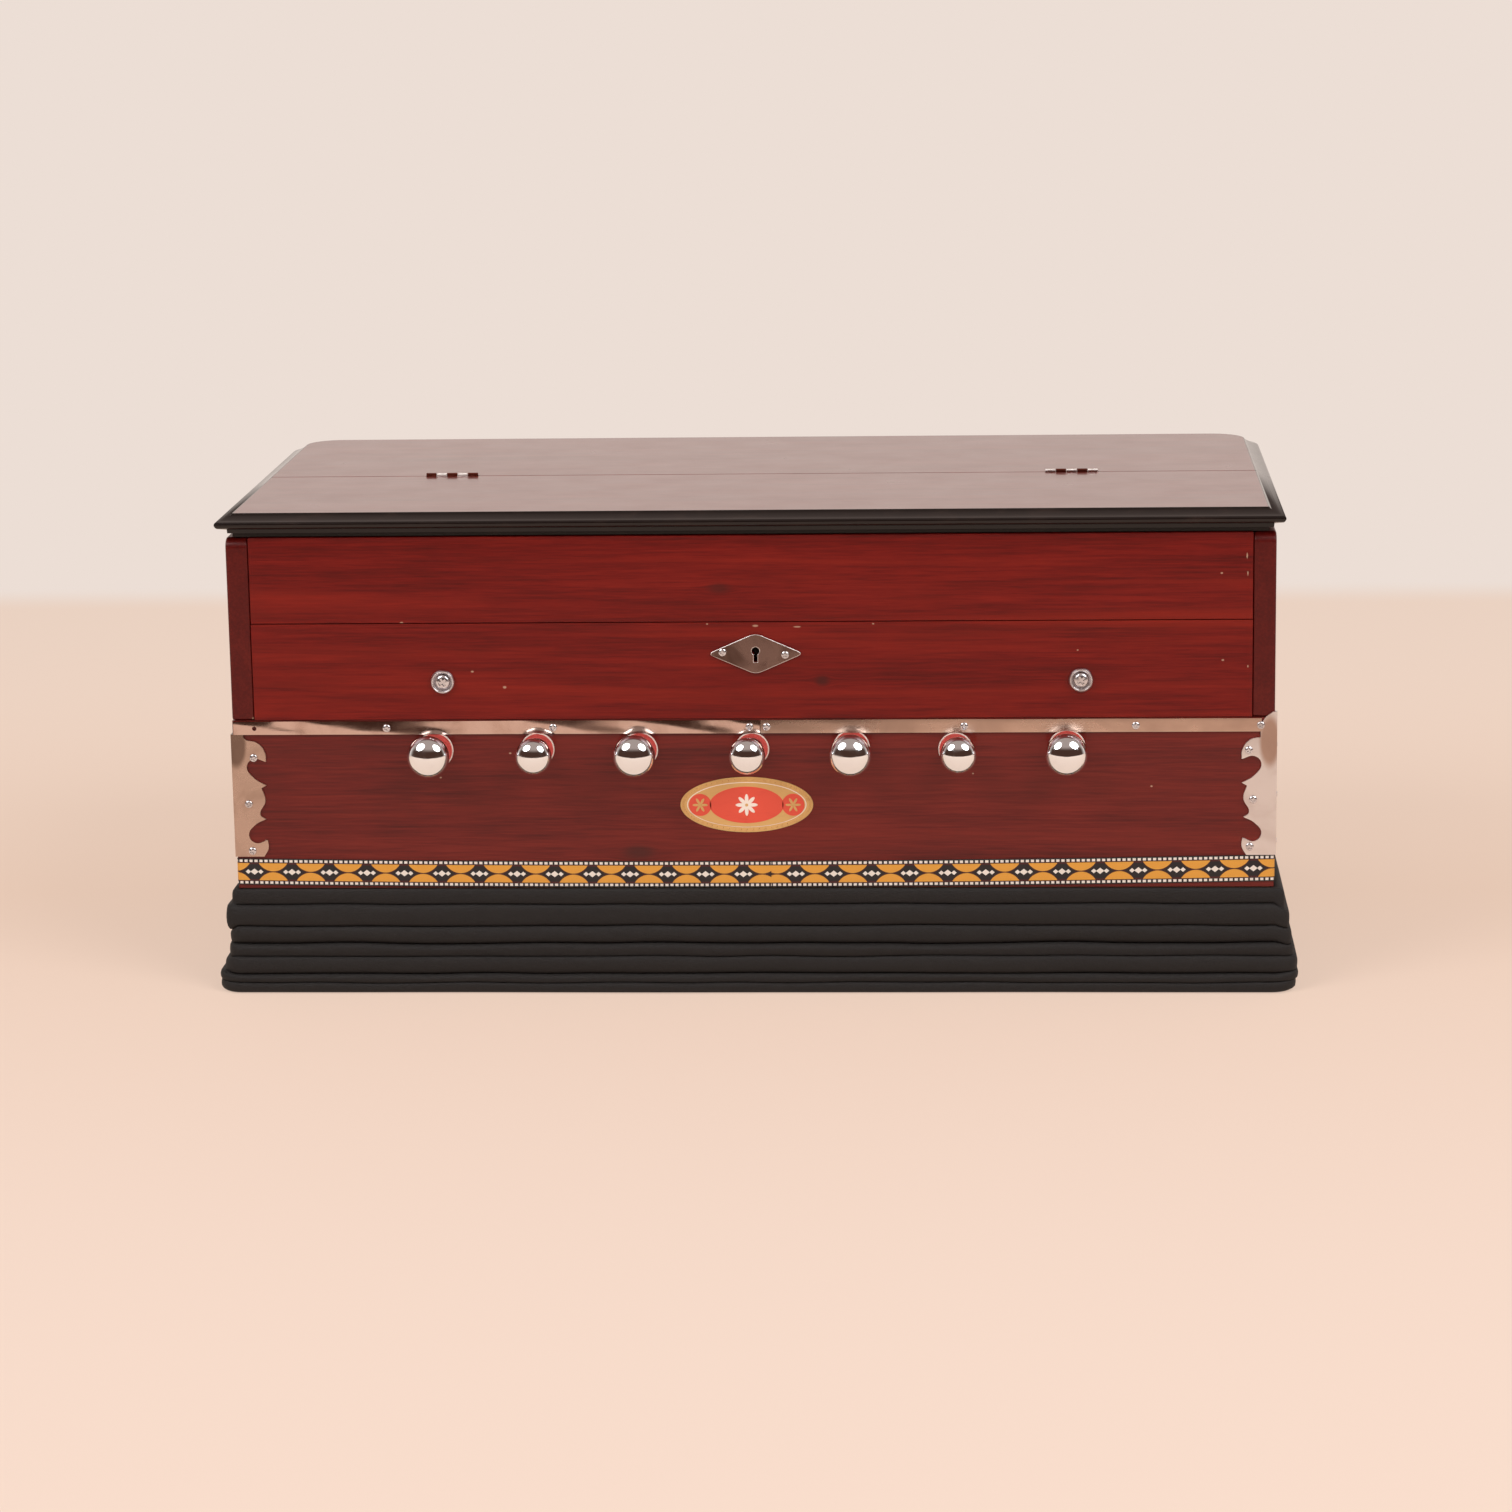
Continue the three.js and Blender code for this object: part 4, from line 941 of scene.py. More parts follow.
class Workshop:
    """Turns shaped meshes into pieces of the object, and dresses the CAD's nodes."""

    crease = math.radians(34)
    flat_enough = math.radians(0.8)
    same_point = 1e-6

    @staticmethod
    def outward(shape: Shape) -> Shape:
        """Merges doubles and turns every face outwards.

        Args:
            shape: the mesh.

        Returns:
            The same mesh.
        """
        bmesh.ops.remove_doubles(shape, verts=shape.verts, dist=Workshop.same_point)
        bmesh.ops.recalc_face_normals(shape, faces=shape.faces)
        return shape

    def piece(
        self,
        shape: Shape,
        name: str,
        looks: Sequence[bpy.types.Material],
        body: Optional[str],
        slot: Slot,
        stands_for: Sequence[str] = (),
        crease: Optional[float] = None,
        bends: bool = False,
    ) -> bpy.types.Object:
        """Makes a piece of the object from a finished mesh.

        Args:
            shape: the mesh, in place, which is used up.
            name: the piece's name.
            looks: its finishes, in the order that its faces name them.
            body: the CAD body it rides on, or None for one that bends between two.
            slot: the record's slot for its finish; not used.
            stands_for: the CAD nodes that it replaces.
            crease: the angle past which an edge stays sharp.
            bends: whether it is soft or takes more modifiers, so that its shading stays as it is.

        Returns:
            The piece.
        """
        sharp = self.crease if crease is None else crease
        for face in shape.faces:
            face.smooth = True
        for edge in shape.edges:
            edge.smooth = edge.calc_face_angle(0.0) < sharp
        mesh = bpy.data.meshes.new(name)
        shape.to_mesh(mesh)
        shape.free()
        for look in looks:
            mesh.materials.append(look)
        obj = linked(name, mesh)
        if body is not None:
            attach(obj, body)
        if stands_for:
            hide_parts(*stands_for)
        if not bends:
            self.even(obj)
        LOG.info("%s: %d faces", name, len(mesh.polygons))
        return obj

    @staticmethod
    def even(obj: bpy.types.Object) -> None:
        """Shades flat faces flat and lets only the rounded edges bend the light."""
        obj.modifiers.new("even shading", "WEIGHTED_NORMAL").keep_sharp = True

    @staticmethod
    def soften(obj: bpy.types.Object, round_off: float) -> None:
        """Joins flat faces, rounds the edges between them and evens the shading.

        Args:
            obj: the piece or node.
            round_off: how wide its edges are rounded.
        """
        flat = obj.modifiers.new("flat faces", "DECIMATE")
        flat.decimate_type = "DISSOLVE"
        flat.angle_limit = Workshop.flat_enough
        soft = obj.modifiers.new("soft edges", "BEVEL")
        soft.width = round_off
        soft.segments = 2
        soft.limit_method = "ANGLE"
        soft.angle_limit = Workshop.crease
        Workshop.even(obj)

    @staticmethod
    def thicken(obj: bpy.types.Object, thickness: float, offset: float) -> None:
        """Gives a sheet its thickness.

        Args:
            obj: the sheet.
            thickness: how thick it gets.
            offset: the side it grows to: 1 is outwards, -1 is inwards.
        """
        thick = obj.modifiers.new("thickness", "SOLIDIFY")
        thick.thickness = thickness
        thick.offset = offset

    def dress(
        self, node: str, look: bpy.types.Material, round_off: float = 0.0005
    ) -> bpy.types.Object:
        """Gives a kept CAD node its finish and softens its edges.

        Args:
            node: the node's name.
            look: its finish.
            round_off: how wide its edges are rounded.

        Returns:
            The node's object.
        """
        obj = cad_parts[node]
        obj.data.materials.clear()
        obj.data.materials.append(look)
        for polygon in obj.data.polygons:
            polygon.use_smooth = True
        obj.modifiers.new("weld", "WELD").merge_threshold = self.same_point
        self.soften(obj, round_off)
        LOG.info("%s: dressed", node)
        return obj

    @staticmethod
    def lathe(
        outline: Sequence[tuple[float, float]], centre: Vector, axis: Vector, steps: int = 48
    ) -> Shape:
        """Turns an outline about an axis.

        Args:
            outline: the points, each its radius and its place along the axis.
            centre: the point where the place along the axis is nothing.
            axis: the way the axis points.
            steps: how many faces go round.

        Returns:
            The turned mesh, closed where the outline ends on the axis.
        """
        shape = bmesh.new()
        axis = axis.normalized()
        side = axis.orthogonal().normalized()
        points = [
            shape.verts.new(centre + side * radius + axis * along) for radius, along in outline
        ]
        edges = [shape.edges.new(pair) for pair in zip(points, points[1:])]
        bmesh.ops.spin(
            shape,
            geom=[*points, *edges],
            cent=centre,
            axis=axis,
            dvec=(0, 0, 0),
            angle=TURN,
            steps=steps,
            use_merge=True,
            use_normal_flip=False,
            use_duplicate=False,
        )
        return Workshop.outward(shape)

    @staticmethod
    def block(low: Sequence[float], high: Sequence[float], round_off: float = 0.0) -> Shape:
        """Makes a box between two corners, with softened edges.

        Args:
            low: its lowest corner.
            high: its highest corner.
            round_off: how wide its edges are rounded.

        Returns:
            The box.
        """
        shape = bmesh.new()
        low, high = Vector(low), Vector(high)
        stretch = Matrix.Diagonal((*(high - low), 1))
        bmesh.ops.create_cube(
            shape, size=1.0, matrix=Matrix.Translation((low + high) / 2) @ stretch
        )
        if round_off:
            Workshop.round_edges(shape, shape.edges, round_off)
        return shape

    @staticmethod
    def round_edges(
        shape: Shape, edges: Iterable[bmesh.types.BMEdge], width: float, segments: int = 2
    ) -> None:
        """Rounds edges of a mesh.

        Args:
            shape: the mesh.
            edges: the edges to round.
            width: how wide the rounding is.
            segments: how many faces it has.
        """
        bmesh.ops.bevel(
            shape, geom=list(edges), offset=width, segments=segments, profile=0.5, affect="EDGES",
            material=-1, clamp_overlap=True,
        )

    @staticmethod
    def add(
        shape: Shape, other: Shape, matrix: Optional[Matrix] = None, look: Optional[int] = None
    ) -> None:
        """Adds a copy of one mesh to another.

        Args:
            shape: the mesh that grows.
            other: the mesh that is copied.
            matrix: where the copy goes.
            look: the number of the finish that the copy's faces take.
        """
        mesh = bpy.data.meshes.new("passing")
        other.to_mesh(mesh)
        if matrix is not None:
            mesh.transform(matrix)
        before = len(shape.faces)
        shape.from_mesh(mesh)
        bpy.data.meshes.remove(mesh)
        if look is not None:
            shape.faces.ensure_lookup_table()
            for face in shape.faces[before:]:
                face.material_index = look

    @staticmethod
    def join(
        shape: Shape, part: Shape, matrix: Optional[Matrix] = None, look: Optional[int] = None
    ) -> None:
        """Adds one mesh to another, as add does, and uses it up."""
        Workshop.add(shape, part, matrix, look)
        part.free()

    @staticmethod
    def cut(shape: Shape, tools: Shape) -> Shape:
        """Takes the room of one mesh out of another.

        Args:
            shape: the mesh that is cut, which is used up.
            tools: the mesh that is taken away, which is used up.

        Returns:
            The cut mesh.
        """
        objects = []
        for name, mesh in (("work", shape), ("tool", tools)):
            data = bpy.data.meshes.new(name)
            mesh.to_mesh(data)
            mesh.free()
            objects.append(linked(name, data))
        work, tool = objects
        made = work.modifiers.new("cut", "BOOLEAN")
        made.operation = "DIFFERENCE"
        made.solver = "EXACT"
        made.object = tool
        result = evaluated(work)
        for obj in objects:
            bpy.data.objects.remove(obj)
        return result

    @staticmethod
    def node_copy(node: str) -> Shape:
        """Gives a merged copy of a CAD node's mesh.

        Args:
            node: the node's name.

        Returns:
            The copy, all in one finish.
        """
        shape = bmesh.new()
        shape.from_mesh(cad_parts[node].data)
        bmesh.ops.remove_doubles(shape, verts=shape.verts, dist=Workshop.same_point)
        for face in shape.faces:
            face.material_index = 0
        return shape


@dataclass
class Studio:
    """The camera where the photographer stood, the lamps, the floor and the room round them."""

    eye: Vector = field(default_factory=lambda: Vector((0.1533, -2.6351, 0.6826)))
    turn_left: float = 0.0604
    look_down: float = 0.2145
    lean: float = -0.016
    lens: float = 103.62
    sensor: float = 36.0
    lamp_radius: float = 0.95
    lamp_places: tuple[tuple[float, float, float, float], ...] = (
        (-1.76, -1.72, 2.14, 43.0), (1.76, -1.70, 2.12, 48.0),
    )
    """Where each lamp hangs, and its power in watts."""
    fill_place: tuple[float, float, float] = (0.1, -3.8, 2.2)
    fill_size: float = 2.6
    fill_power: float = 14.0
    aim: tuple[float, float, float] = (0, 0, 0.15)
    """The point that every lamp faces."""
    table_front: float = -1.8
    floor_reach: float = 14.0
    wall: Colour = paint(236, 222, 213)

    def build(self) -> None:
        """Makes the camera, lamps, floor and room."""
        self._camera()
        self._lamps()
        self._floor()
        self._room()
        bpy.context.scene.view_settings.view_transform = "Standard"
        LOG.info("studio: camera, %d lamps and a fill, floor and room", len(self.lamp_places))

    def _camera(self) -> None:
        """Puts the camera where the photo was taken."""
        flat = math.cos(self.look_down)
        ahead = Vector(
            (
                -math.sin(self.turn_left) * flat, math.cos(self.turn_left) * flat,
                -math.sin(self.look_down)
            )
        )
        level = ahead.cross(Vector((0, 0, 1))).normalized()
        above = level.cross(ahead)
        right = level * math.cos(self.lean) + above * math.sin(self.lean)
        upward = above * math.cos(self.lean) - level * math.sin(self.lean)
        data = bpy.data.cameras.new("camera")
        data.lens = self.lens
        data.sensor_width = self.sensor
        data.clip_end = 100.0
        camera = linked("camera", data)
        turned = Matrix((right, upward, -ahead)).transposed()
        camera.matrix_world = Matrix.Translation(self.eye) @ turned.to_4x4()
        bpy.context.scene.camera = camera

    def _lamp(
        self, name: str, place: Sequence[float], shape: str, size: float, power: float
    ) -> bpy.types.Object:
        """Hangs one soft lamp that faces the object.

        Args:
            name: the lamp's name.
            place: where it hangs.
            shape: its outline.
            size: how wide it is.
            power: its power in watts.

        Returns:
            The lamp.
        """
        data = bpy.data.lights.new(name, "AREA")
        data.shape = shape
        data.size = size
        data.energy = power
        lamp = linked(name, data)
        lamp.location = place
        lamp.rotation_euler = (Vector(place) - Vector(self.aim)).to_track_quat("Z", "Y").to_euler()
        return lamp

    def _lamps(self) -> None:
        """Hangs the two round lamps and the fill that shows in no reflection."""
        for number, (*place, power) in enumerate(self.lamp_places, 1):
            self._lamp(f"lamp {number}", place, "DISK", self.lamp_radius * 2, power)
        fill = self._lamp("fill", self.fill_place, "SQUARE", self.fill_size, self.fill_power)
        fill.visible_glossy = False
        fill.visible_camera = False

    def _floor(self) -> None:
        """Lays the pale floor, whose far part has the wall's colour."""
        look = Plain(
            "stage", paint(242, 218, 202), paint(242, 214, 194), paint(246, 224, 208), self.wall
        ).make()
        spans = (
            ("floor", self.table_front, self.floor_reach),
            ("floor in front", -self.floor_reach, self.table_front),
        )
        for name, near, far in spans:
            shape = bmesh.new()
            stretch = Matrix.Diagonal((2 * self.floor_reach, far - near, 1, 1))
            middle = Matrix.Translation((0, (near + far) / 2, 0))
            bmesh.ops.create_grid(
                shape, x_segments=1, y_segments=1, size=0.5, matrix=middle @ stretch
            )
            mesh = bpy.data.meshes.new(name)
            shape.to_mesh(mesh)
            shape.free()
            mesh.materials.append(look)
            floor = linked(name, mesh)
            floor.visible_glossy = name == "floor"

    def _room(self) -> None:
        """Colours the room: a pale wall, a dim brown end behind the camera, a soft ceiling."""
        world = bpy.data.worlds.new("room")
        bpy.context.scene.world = world
        graph = Graph(world)
        way = Wire(graph, graph.node("ShaderNodeTexCoord").outputs["Generated"])
        _, ahead, above = graph.parts(way)
        ends = graph.mix(ahead.rise(-0.35, 0.25), paint(70, 48, 40), self.wall)
        colour = graph.mix(above.rise(0.32, 0.62), ends, paint(168, 150, 142))
        plain = Wire(graph, graph.node("ShaderNodeLightPath").outputs["Is Camera Ray"])
        shown = graph.mix(plain, colour, self.wall)
        glow = graph.node("ShaderNodeBackground", None, {"Color": shown, "Strength": 1.0})
        out = graph.node("ShaderNodeOutputWorld")
        graph.tree.links.new(glow.outputs["Background"], out.inputs["Surface"])


@dataclass
class Part:
    """A group of pieces, which the workshop makes in the palette's finishes."""

    workshop: Workshop
    palette: Palette


@dataclass
class Fasteners:
    """Cross-recessed pan-head screws, made once and set wherever one is."""

    radius: float = 0.00235
    height: float = 0.0014
    slot_reach: float = 0.0014
    slot_width: float = 0.00048
    slot_depth: float = 0.0009
    rim_share: float = 0.28
    """How high the upright rim is, as a share of the head."""
    dome_share: float = 0.35
    """Where the dome starts, as a share of the head."""
    dome_steps: int = 8

    def __post_init__(self) -> None:
        """Makes the screw that is copied."""
        angles = [step * math.pi / (2 * self.dome_steps) for step in range(1, self.dome_steps)]
        dome = [(0.0, self.height)]
        dome += [
            (
                self.radius * math.sin(angle),
                self.height * (self.dome_share + (1 - self.dome_share) * math.cos(angle)),
            )
            for angle in angles
        ]
        dome += [(self.radius, self.height * self.rim_share), (self.radius, 0.0), (0.0, 0.0)]
        head = Workshop.lathe(dome, Vector(), Vector((0, 0, 1)), 24)
        for reach, width in (
            (self.slot_reach, self.slot_width), (self.slot_width, self.slot_reach)
        ):
            low = (-reach, -width, self.height - self.slot_depth)
            head = Workshop.cut(
                head, Workshop.block(low, (reach, width, self.height + self.slot_depth))
            )
        self.screw = head

    def put(
        self, shape: Shape, place: Sequence[float], away: Sequence[float], turn: float,
        look: int = 0
    ) -> None:
        """Sets one screw.

        Args:
            shape: the mesh that takes it.
            place: the middle of its seat.
            away: the way its head faces.
            turn: how far its recess is turned.
            look: the number of its finish.
        """
        facing = Vector(away).to_track_quat("Z", "Y").to_matrix().to_4x4()
        matrix = Matrix.Translation(place) @ facing @ Matrix.Rotation(turn, 4, "Z")
        Workshop.add(shape, self.screw, matrix, look)


@dataclass
class Lid(Part):
    """The lid's two halves with their moulded black edge, and the rail behind the crease."""

    half_length: float = 0.310
    front: float = -0.1585
    rear: float = 0.1585
    crease: float = -0.010
    crease_gap: float = 0.0002
    crease_round: float = 0.0006
    bottom: float = 0.2718
    top: float = 0.2858
    nose_height: float = 0.0080
    nose_thick: float = 0.0005
    corner_radius: float = 0.030
    corner_steps: int = 14
    rail_half: float = 0.2917
    rail_rear: float = -0.0008
    rail_bottom: float = 0.2383
    leaf_rooms: tuple[tuple[float, float], ...] = ((-0.2051, -0.1725), (0.1731, 0.2057))
    leaf_reach: float = 0.0017
    leaf_tall: float = 0.0103
    sharp: float = math.radians(42)

    def _outline(self) -> Shape:
        """Makes the lid's flat outline at the nose's height, with round rear corners.

        Returns:
            The outline, as one face.
        """
        shape = bmesh.new()
        level = self.bottom + self.nose_height
        bmesh.ops.create_grid(shape, x_segments=1, y_segments=1, size=0.5)
        stretch = Matrix.Diagonal((2 * self.half_length, self.rear - self.front, 1, 1))
        middle = Matrix.Translation((0, (self.front + self.rear) / 2, level))
        bmesh.ops.transform(shape, matrix=middle @ stretch, verts=shape.verts)
        corners = [vert for vert in shape.verts if vert.co.y > 0]
        bmesh.ops.bevel(
            shape,
            geom=corners,
            offset=self.corner_radius,
            segments=self.corner_steps,
            profile=0.5,
            affect="VERTICES",
            material=-1,
        )
        return shape

    def _solid(self) -> Shape:
        """Raises the moulding above and below the outline.

        Returns:
            The whole lid, with the moulding in the second finish.
        """
        shape = self._outline()
        for face in shape.faces:
            face.material_index = 1
            face.normal_update()
        lifted = bmesh.ops.extrude_face_region(shape, geom=list(shape.faces))
        raised = only(lifted["geom"], bmesh.types.BMVert)
        bmesh.ops.translate(shape, vec=(0, 0, self.nose_thick), verts=raised)
        Workshop.outward(shape)
        sole = min(shape.faces, key=lambda face: face.calc_center_median().z)
        crown = max(shape.faces, key=lambda face: face.calc_center_median().z)
        rise = self.top - self.bottom - self.nose_height - self.nose_thick
        above = [
            (0.00005, 0.0004), (0.00025, 0.0005), (0.0004, 0.00035), (0.0005, 0.0002),
            (0.0013, 0.0003), (0.0016, 0.0005), (0.0018, 0.0008), (0.0015, 0.0008),
            (0.0011, 0.0007), (0.0009, rise - 0.00455),
        ]
        for inset, lift in above:
            bmesh.ops.inset_region(
                shape, faces=[crown], thickness=inset, depth=lift, use_even_offset=True
            )
        bmesh.ops.inset_region(
            shape, faces=[crown], thickness=0.0005, depth=0.0, use_even_offset=True
        )
        crown.material_index = 0
        below = [
            (0.0002, 0.0005), (0.0004, 0.0007), (0.0008, 0.0008), (0.0024, 0.0006),
            (0.0026, 0.0007), (0.0002, 0.0021), (0.0026, 0.0003), (0.0, 0.0023),
        ]
        for inset, drop in below:
            bmesh.ops.inset_region(
                shape, faces=[sole], thickness=inset, depth=drop, use_even_offset=True
            )
        return shape

    def _half(self, whole: Shape, keep_front: bool) -> Shape:
        """Cuts the lid at the crease and closes the cut.

        Args:
            whole: the whole lid.
            keep_front: whether the front half is wanted.

        Returns:
            The half.
        """
        half = whole.copy()
        edge = self.crease - self.crease_gap if keep_front else self.crease + self.crease_gap
        bmesh.ops.bisect_plane(
            half,
            geom=[*half.verts, *half.edges, *half.faces],
            dist=1e-7,
            plane_co=(0, edge, 0),
            plane_no=(0, 1 if keep_front else -1, 0),
            clear_outer=True,
        )
        closed = bmesh.ops.holes_fill(half, edges=[e for e in half.edges if e.is_boundary], sides=0)
        for face in closed["faces"]:
            face.material_index = 1
        rims = [
            e for e in half.edges
            if all(abs(v.co.y - edge) < 1e-6 and v.co.z > self.top - 1e-5 for v in e.verts)
        ]
        Workshop.round_edges(half, rims, self.crease_round, 3)
        return Workshop.outward(half)

    def _rooms(self, front: bool) -> Shape:
        """Makes the room of both hinges in one half.

        Args:
            front: whether it is the front half.

        Returns:
            The rooms, as two boxes that reach above the lid.
        """
        rooms = bmesh.new()
        for low, high in self.leaf_rooms:
            inner = self.crease - self.leaf_reach if front else self.crease - self.leaf_reach / 2
            outer = self.crease + self.leaf_reach / 2 if front else self.crease + self.leaf_reach
            pocket = Workshop.block(
                (low, inner, self.top - self.leaf_tall), (high, outer, self.top + 0.01)
            )
            Workshop.join(rooms, pocket)
        return rooms

    def build(self) -> None:
        """Makes both halves and the rail."""
        whole = self._solid()
        for keep_front, name, body in ((True, "lid_front", "lid"), (False, "lid_rear", "cabinet")):
            half = Workshop.cut(self._half(whole, keep_front), self._rooms(keep_front))
            looks = [self.palette.lid, self.palette.lid_edge]
            self.workshop.piece(
                half, f"{name}_moulded", looks, body, Slot.LID_WOOD, [name], self.sharp
            )
        whole.free()
        rail = Workshop.block(
            (-self.rail_half, self.crease + self.crease_gap, self.rail_bottom),
            (self.rail_half, self.rail_rear, self.bottom),
            0.0006,
        )
        self.workshop.piece(rail, "crease_rail", [self.palette.panel], "cabinet", Slot.LID_WOOD)


@dataclass
class LidHinge:
    """A five-knuckle butt hinge at the crease, one leaf on each half of the lid."""

    workshop: Workshop
    side: str
    span: tuple[float, float]
    looks: tuple[bpy.types.Material, bpy.types.Material]
    knuckle: float = 0.0009
    pin: Vector = field(default_factory=lambda: Vector((0, -0.010, 0.2868)))
    leaf: tuple[float, float] = (0.0002, 0.0014)
    knuckles: int = 5
    gap: float = 0.0003
    rim_share: float = 0.15
    """How far a knuckle's ends are rounded, as a share of its radius."""

    def build(self) -> None:
        """Makes both leaves, each with its own knuckles."""
        rim, start = self.knuckle, self.span[0]
        pitch = (self.span[1] - start) / self.knuckles
        length, soft = pitch - self.gap, rim * self.rim_share
        outline = [
            (0.0, 0.0), (rim * (1 - self.rim_share), 0.0), (rim, soft), (rim, length - soft),
            (rim * (1 - self.rim_share), length), (0.0, length),
        ]
        for first, (part, sign, body) in enumerate(
            (("fixed", 1, "cabinet"), ("moving", -1, "lid"))
        ):
            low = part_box(f"hinge_{self.side}_{part}")[0]
            near, far = sorted(self.pin.y + sign * reach for reach in self.leaf)
            high = (self.span[1], far, self.pin.z - rim - self.gap)
            shape = Workshop.block((start, near, low.z), high, 0.0002)
            for count in range(first, self.knuckles, 2):
                left = start + count * pitch
                middle = Vector((left, self.pin.y, self.pin.z))
                Workshop.join(shape, Workshop.lathe(outline, middle, Vector((1, 0, 0)), 28))
                neck = (left, near, self.pin.z - rim * 1.6), (left + length, far, self.pin.z)
                Workshop.join(shape, Workshop.block(*neck))
            name = f"hinge_{self.side}_{part}"
            self.workshop.piece(
                shape, f"{name}_leaf", [self.looks[first]], body, Slot.NICKEL, [name]
            )


@dataclass
class Stop:
    """One pull stop: a ball knob on its neck and rod, with the pad at the inner end."""

    number: int
    across: float
    radius: float
    washer_shift: tuple[float, float]
    height: float = 0.1442
    ball_centre: float = -0.1685
    ball_depth: float = 0.72
    """How deep the ball is along its stem, as a share of how wide it is."""
    neck_radius: float = 0.0040
    neck_end: float = -0.1551
    rod_radius: float = 0.0030
    rod_end: float = -0.0945
    pad_radius: float = 0.0070
    pad_end: float = -0.0915
    pad_soft: float = 0.0004
    ball_steps: int = 22
    collar: tuple[float, float, float] = (0.0006, 0.0012, 0.0009)
    """The collar at the neck's end: how far it stands out, and where its slope starts and ends."""

    def outline(self) -> list[tuple[float, float]]:
        """Gives the outline of ball, neck and rod.

        Returns:
            Each point's radius and its depth from the ball's centre.
        """
        last = math.acos(-math.sqrt(max(0.0, 1 - (self.neck_radius / self.radius) ** 2)))
        angles = [last * step / self.ball_steps for step in range(self.ball_steps + 1)]
        depth = self.ball_depth * self.radius
        ball = [(self.radius * math.sin(angle), -depth * math.cos(angle)) for angle in angles]
        neck, end = self.neck_end - self.ball_centre, self.rod_end - self.ball_centre
        wide, (_, low, high) = self.neck_radius + self.collar[0], self.collar
        collar = [(self.neck_radius, neck - low), (wide, neck - high), (wide, neck)]
        return [*ball, *collar, (self.rod_radius, neck), (self.rod_radius, end), (0.0, end)]

    def pad_outline(self) -> list[tuple[float, float]]:
        """Gives the outline of the pad at the rod's end.

        Returns:
            Each point's radius and its depth from the ball's centre.
        """
        wide, soft = self.pad_radius, self.pad_soft
        low, high = self.rod_end - self.ball_centre, self.pad_end - self.ball_centre
        return [
            (0.0, low), (wide - soft, low), (wide, low + soft), (wide, high - soft),
            (wide - soft, high), (0.0, high),
        ]


@dataclass
class StopRow(Part):
    """The seven stops with their felt washers."""

    large: float = 0.0125
    small: float = 0.0108
    places: tuple[float, ...] = (-0.1876, -0.1260, -0.0671, -0.0012, 0.0589, 0.1217, 0.1842)
    shifts: tuple[tuple[float, float], ...] = (
        (0.0022, 0.0008), (0.0010, 0.0012), (0.0021, 0.0006), (0.0022, 0.0010), (0.0002, 0.0014),
        (-0.0020, 0.0005), (0.0004, 0.0012),
    )
    """How far each washer lies off its stop, to the right and up."""
    washer_radius: float = 0.0106
    washer_small: float = 0.0098
    washer_hole: float = 0.0064
    washer_thick: float = 0.0013

    def _washer(self, stop: Stop) -> Shape:
        """Cuts one felt washer, a little off the middle of its stop.

        Args:
            stop: the stop that it lies behind.

        Returns:
            The washer, with its cut edge in the second finish.
        """
        across, height = stop.washer_shift
        centre = Vector((stop.across + across, FRONT - 0.0001, stop.height + height))
        radius = self.washer_radius if stop.radius == self.large else self.washer_small
        hole, thick = self.washer_hole, self.washer_thick
        outline = [
            (hole, 0.0), (radius, 0.0), (radius + 0.0002, thick * 0.4),
            (radius - 0.0002, thick * 0.85), (radius - 0.0005, thick), (hole + 0.0004, thick),
            (hole, thick * 0.7), (hole, 0.0),
        ]
        shape = Workshop.lathe(outline, centre, PLAYER, 40)
        for face in shape.faces:
            reach = (face.calc_center_median() - centre).xz.length
            face.material_index = 1 if reach > radius - 0.0004 else 0
        return shape

    def build(self) -> None:
        """Makes each stop and its washer."""
        for index, across in enumerate(self.places):
            radius = self.large if index % 2 == 0 else self.small
            stop = Stop(index + 1, across, radius, self.shifts[index])
            centre = Vector((stop.across, stop.ball_centre, stop.height))
            axis = Vector((0, 1, 0))
            shape = Workshop.lathe(stop.outline(), centre, axis, 56)
            Workshop.join(shape, Workshop.lathe(stop.pad_outline(), centre, axis, 32), look=1)
            name = f"stop_{stop.number}"
            looks = [self.palette.chrome, self.palette.leather]
            self.workshop.piece(shape, f"{name}_turned", looks, name, Slot.CHROME, [name])
            looks = [self.palette.felt, self.palette.felt_edge]
            self.workshop.piece(
                self._washer(stop), f"washer_{stop.number}", looks, "cabinet", Slot.FELT
            )


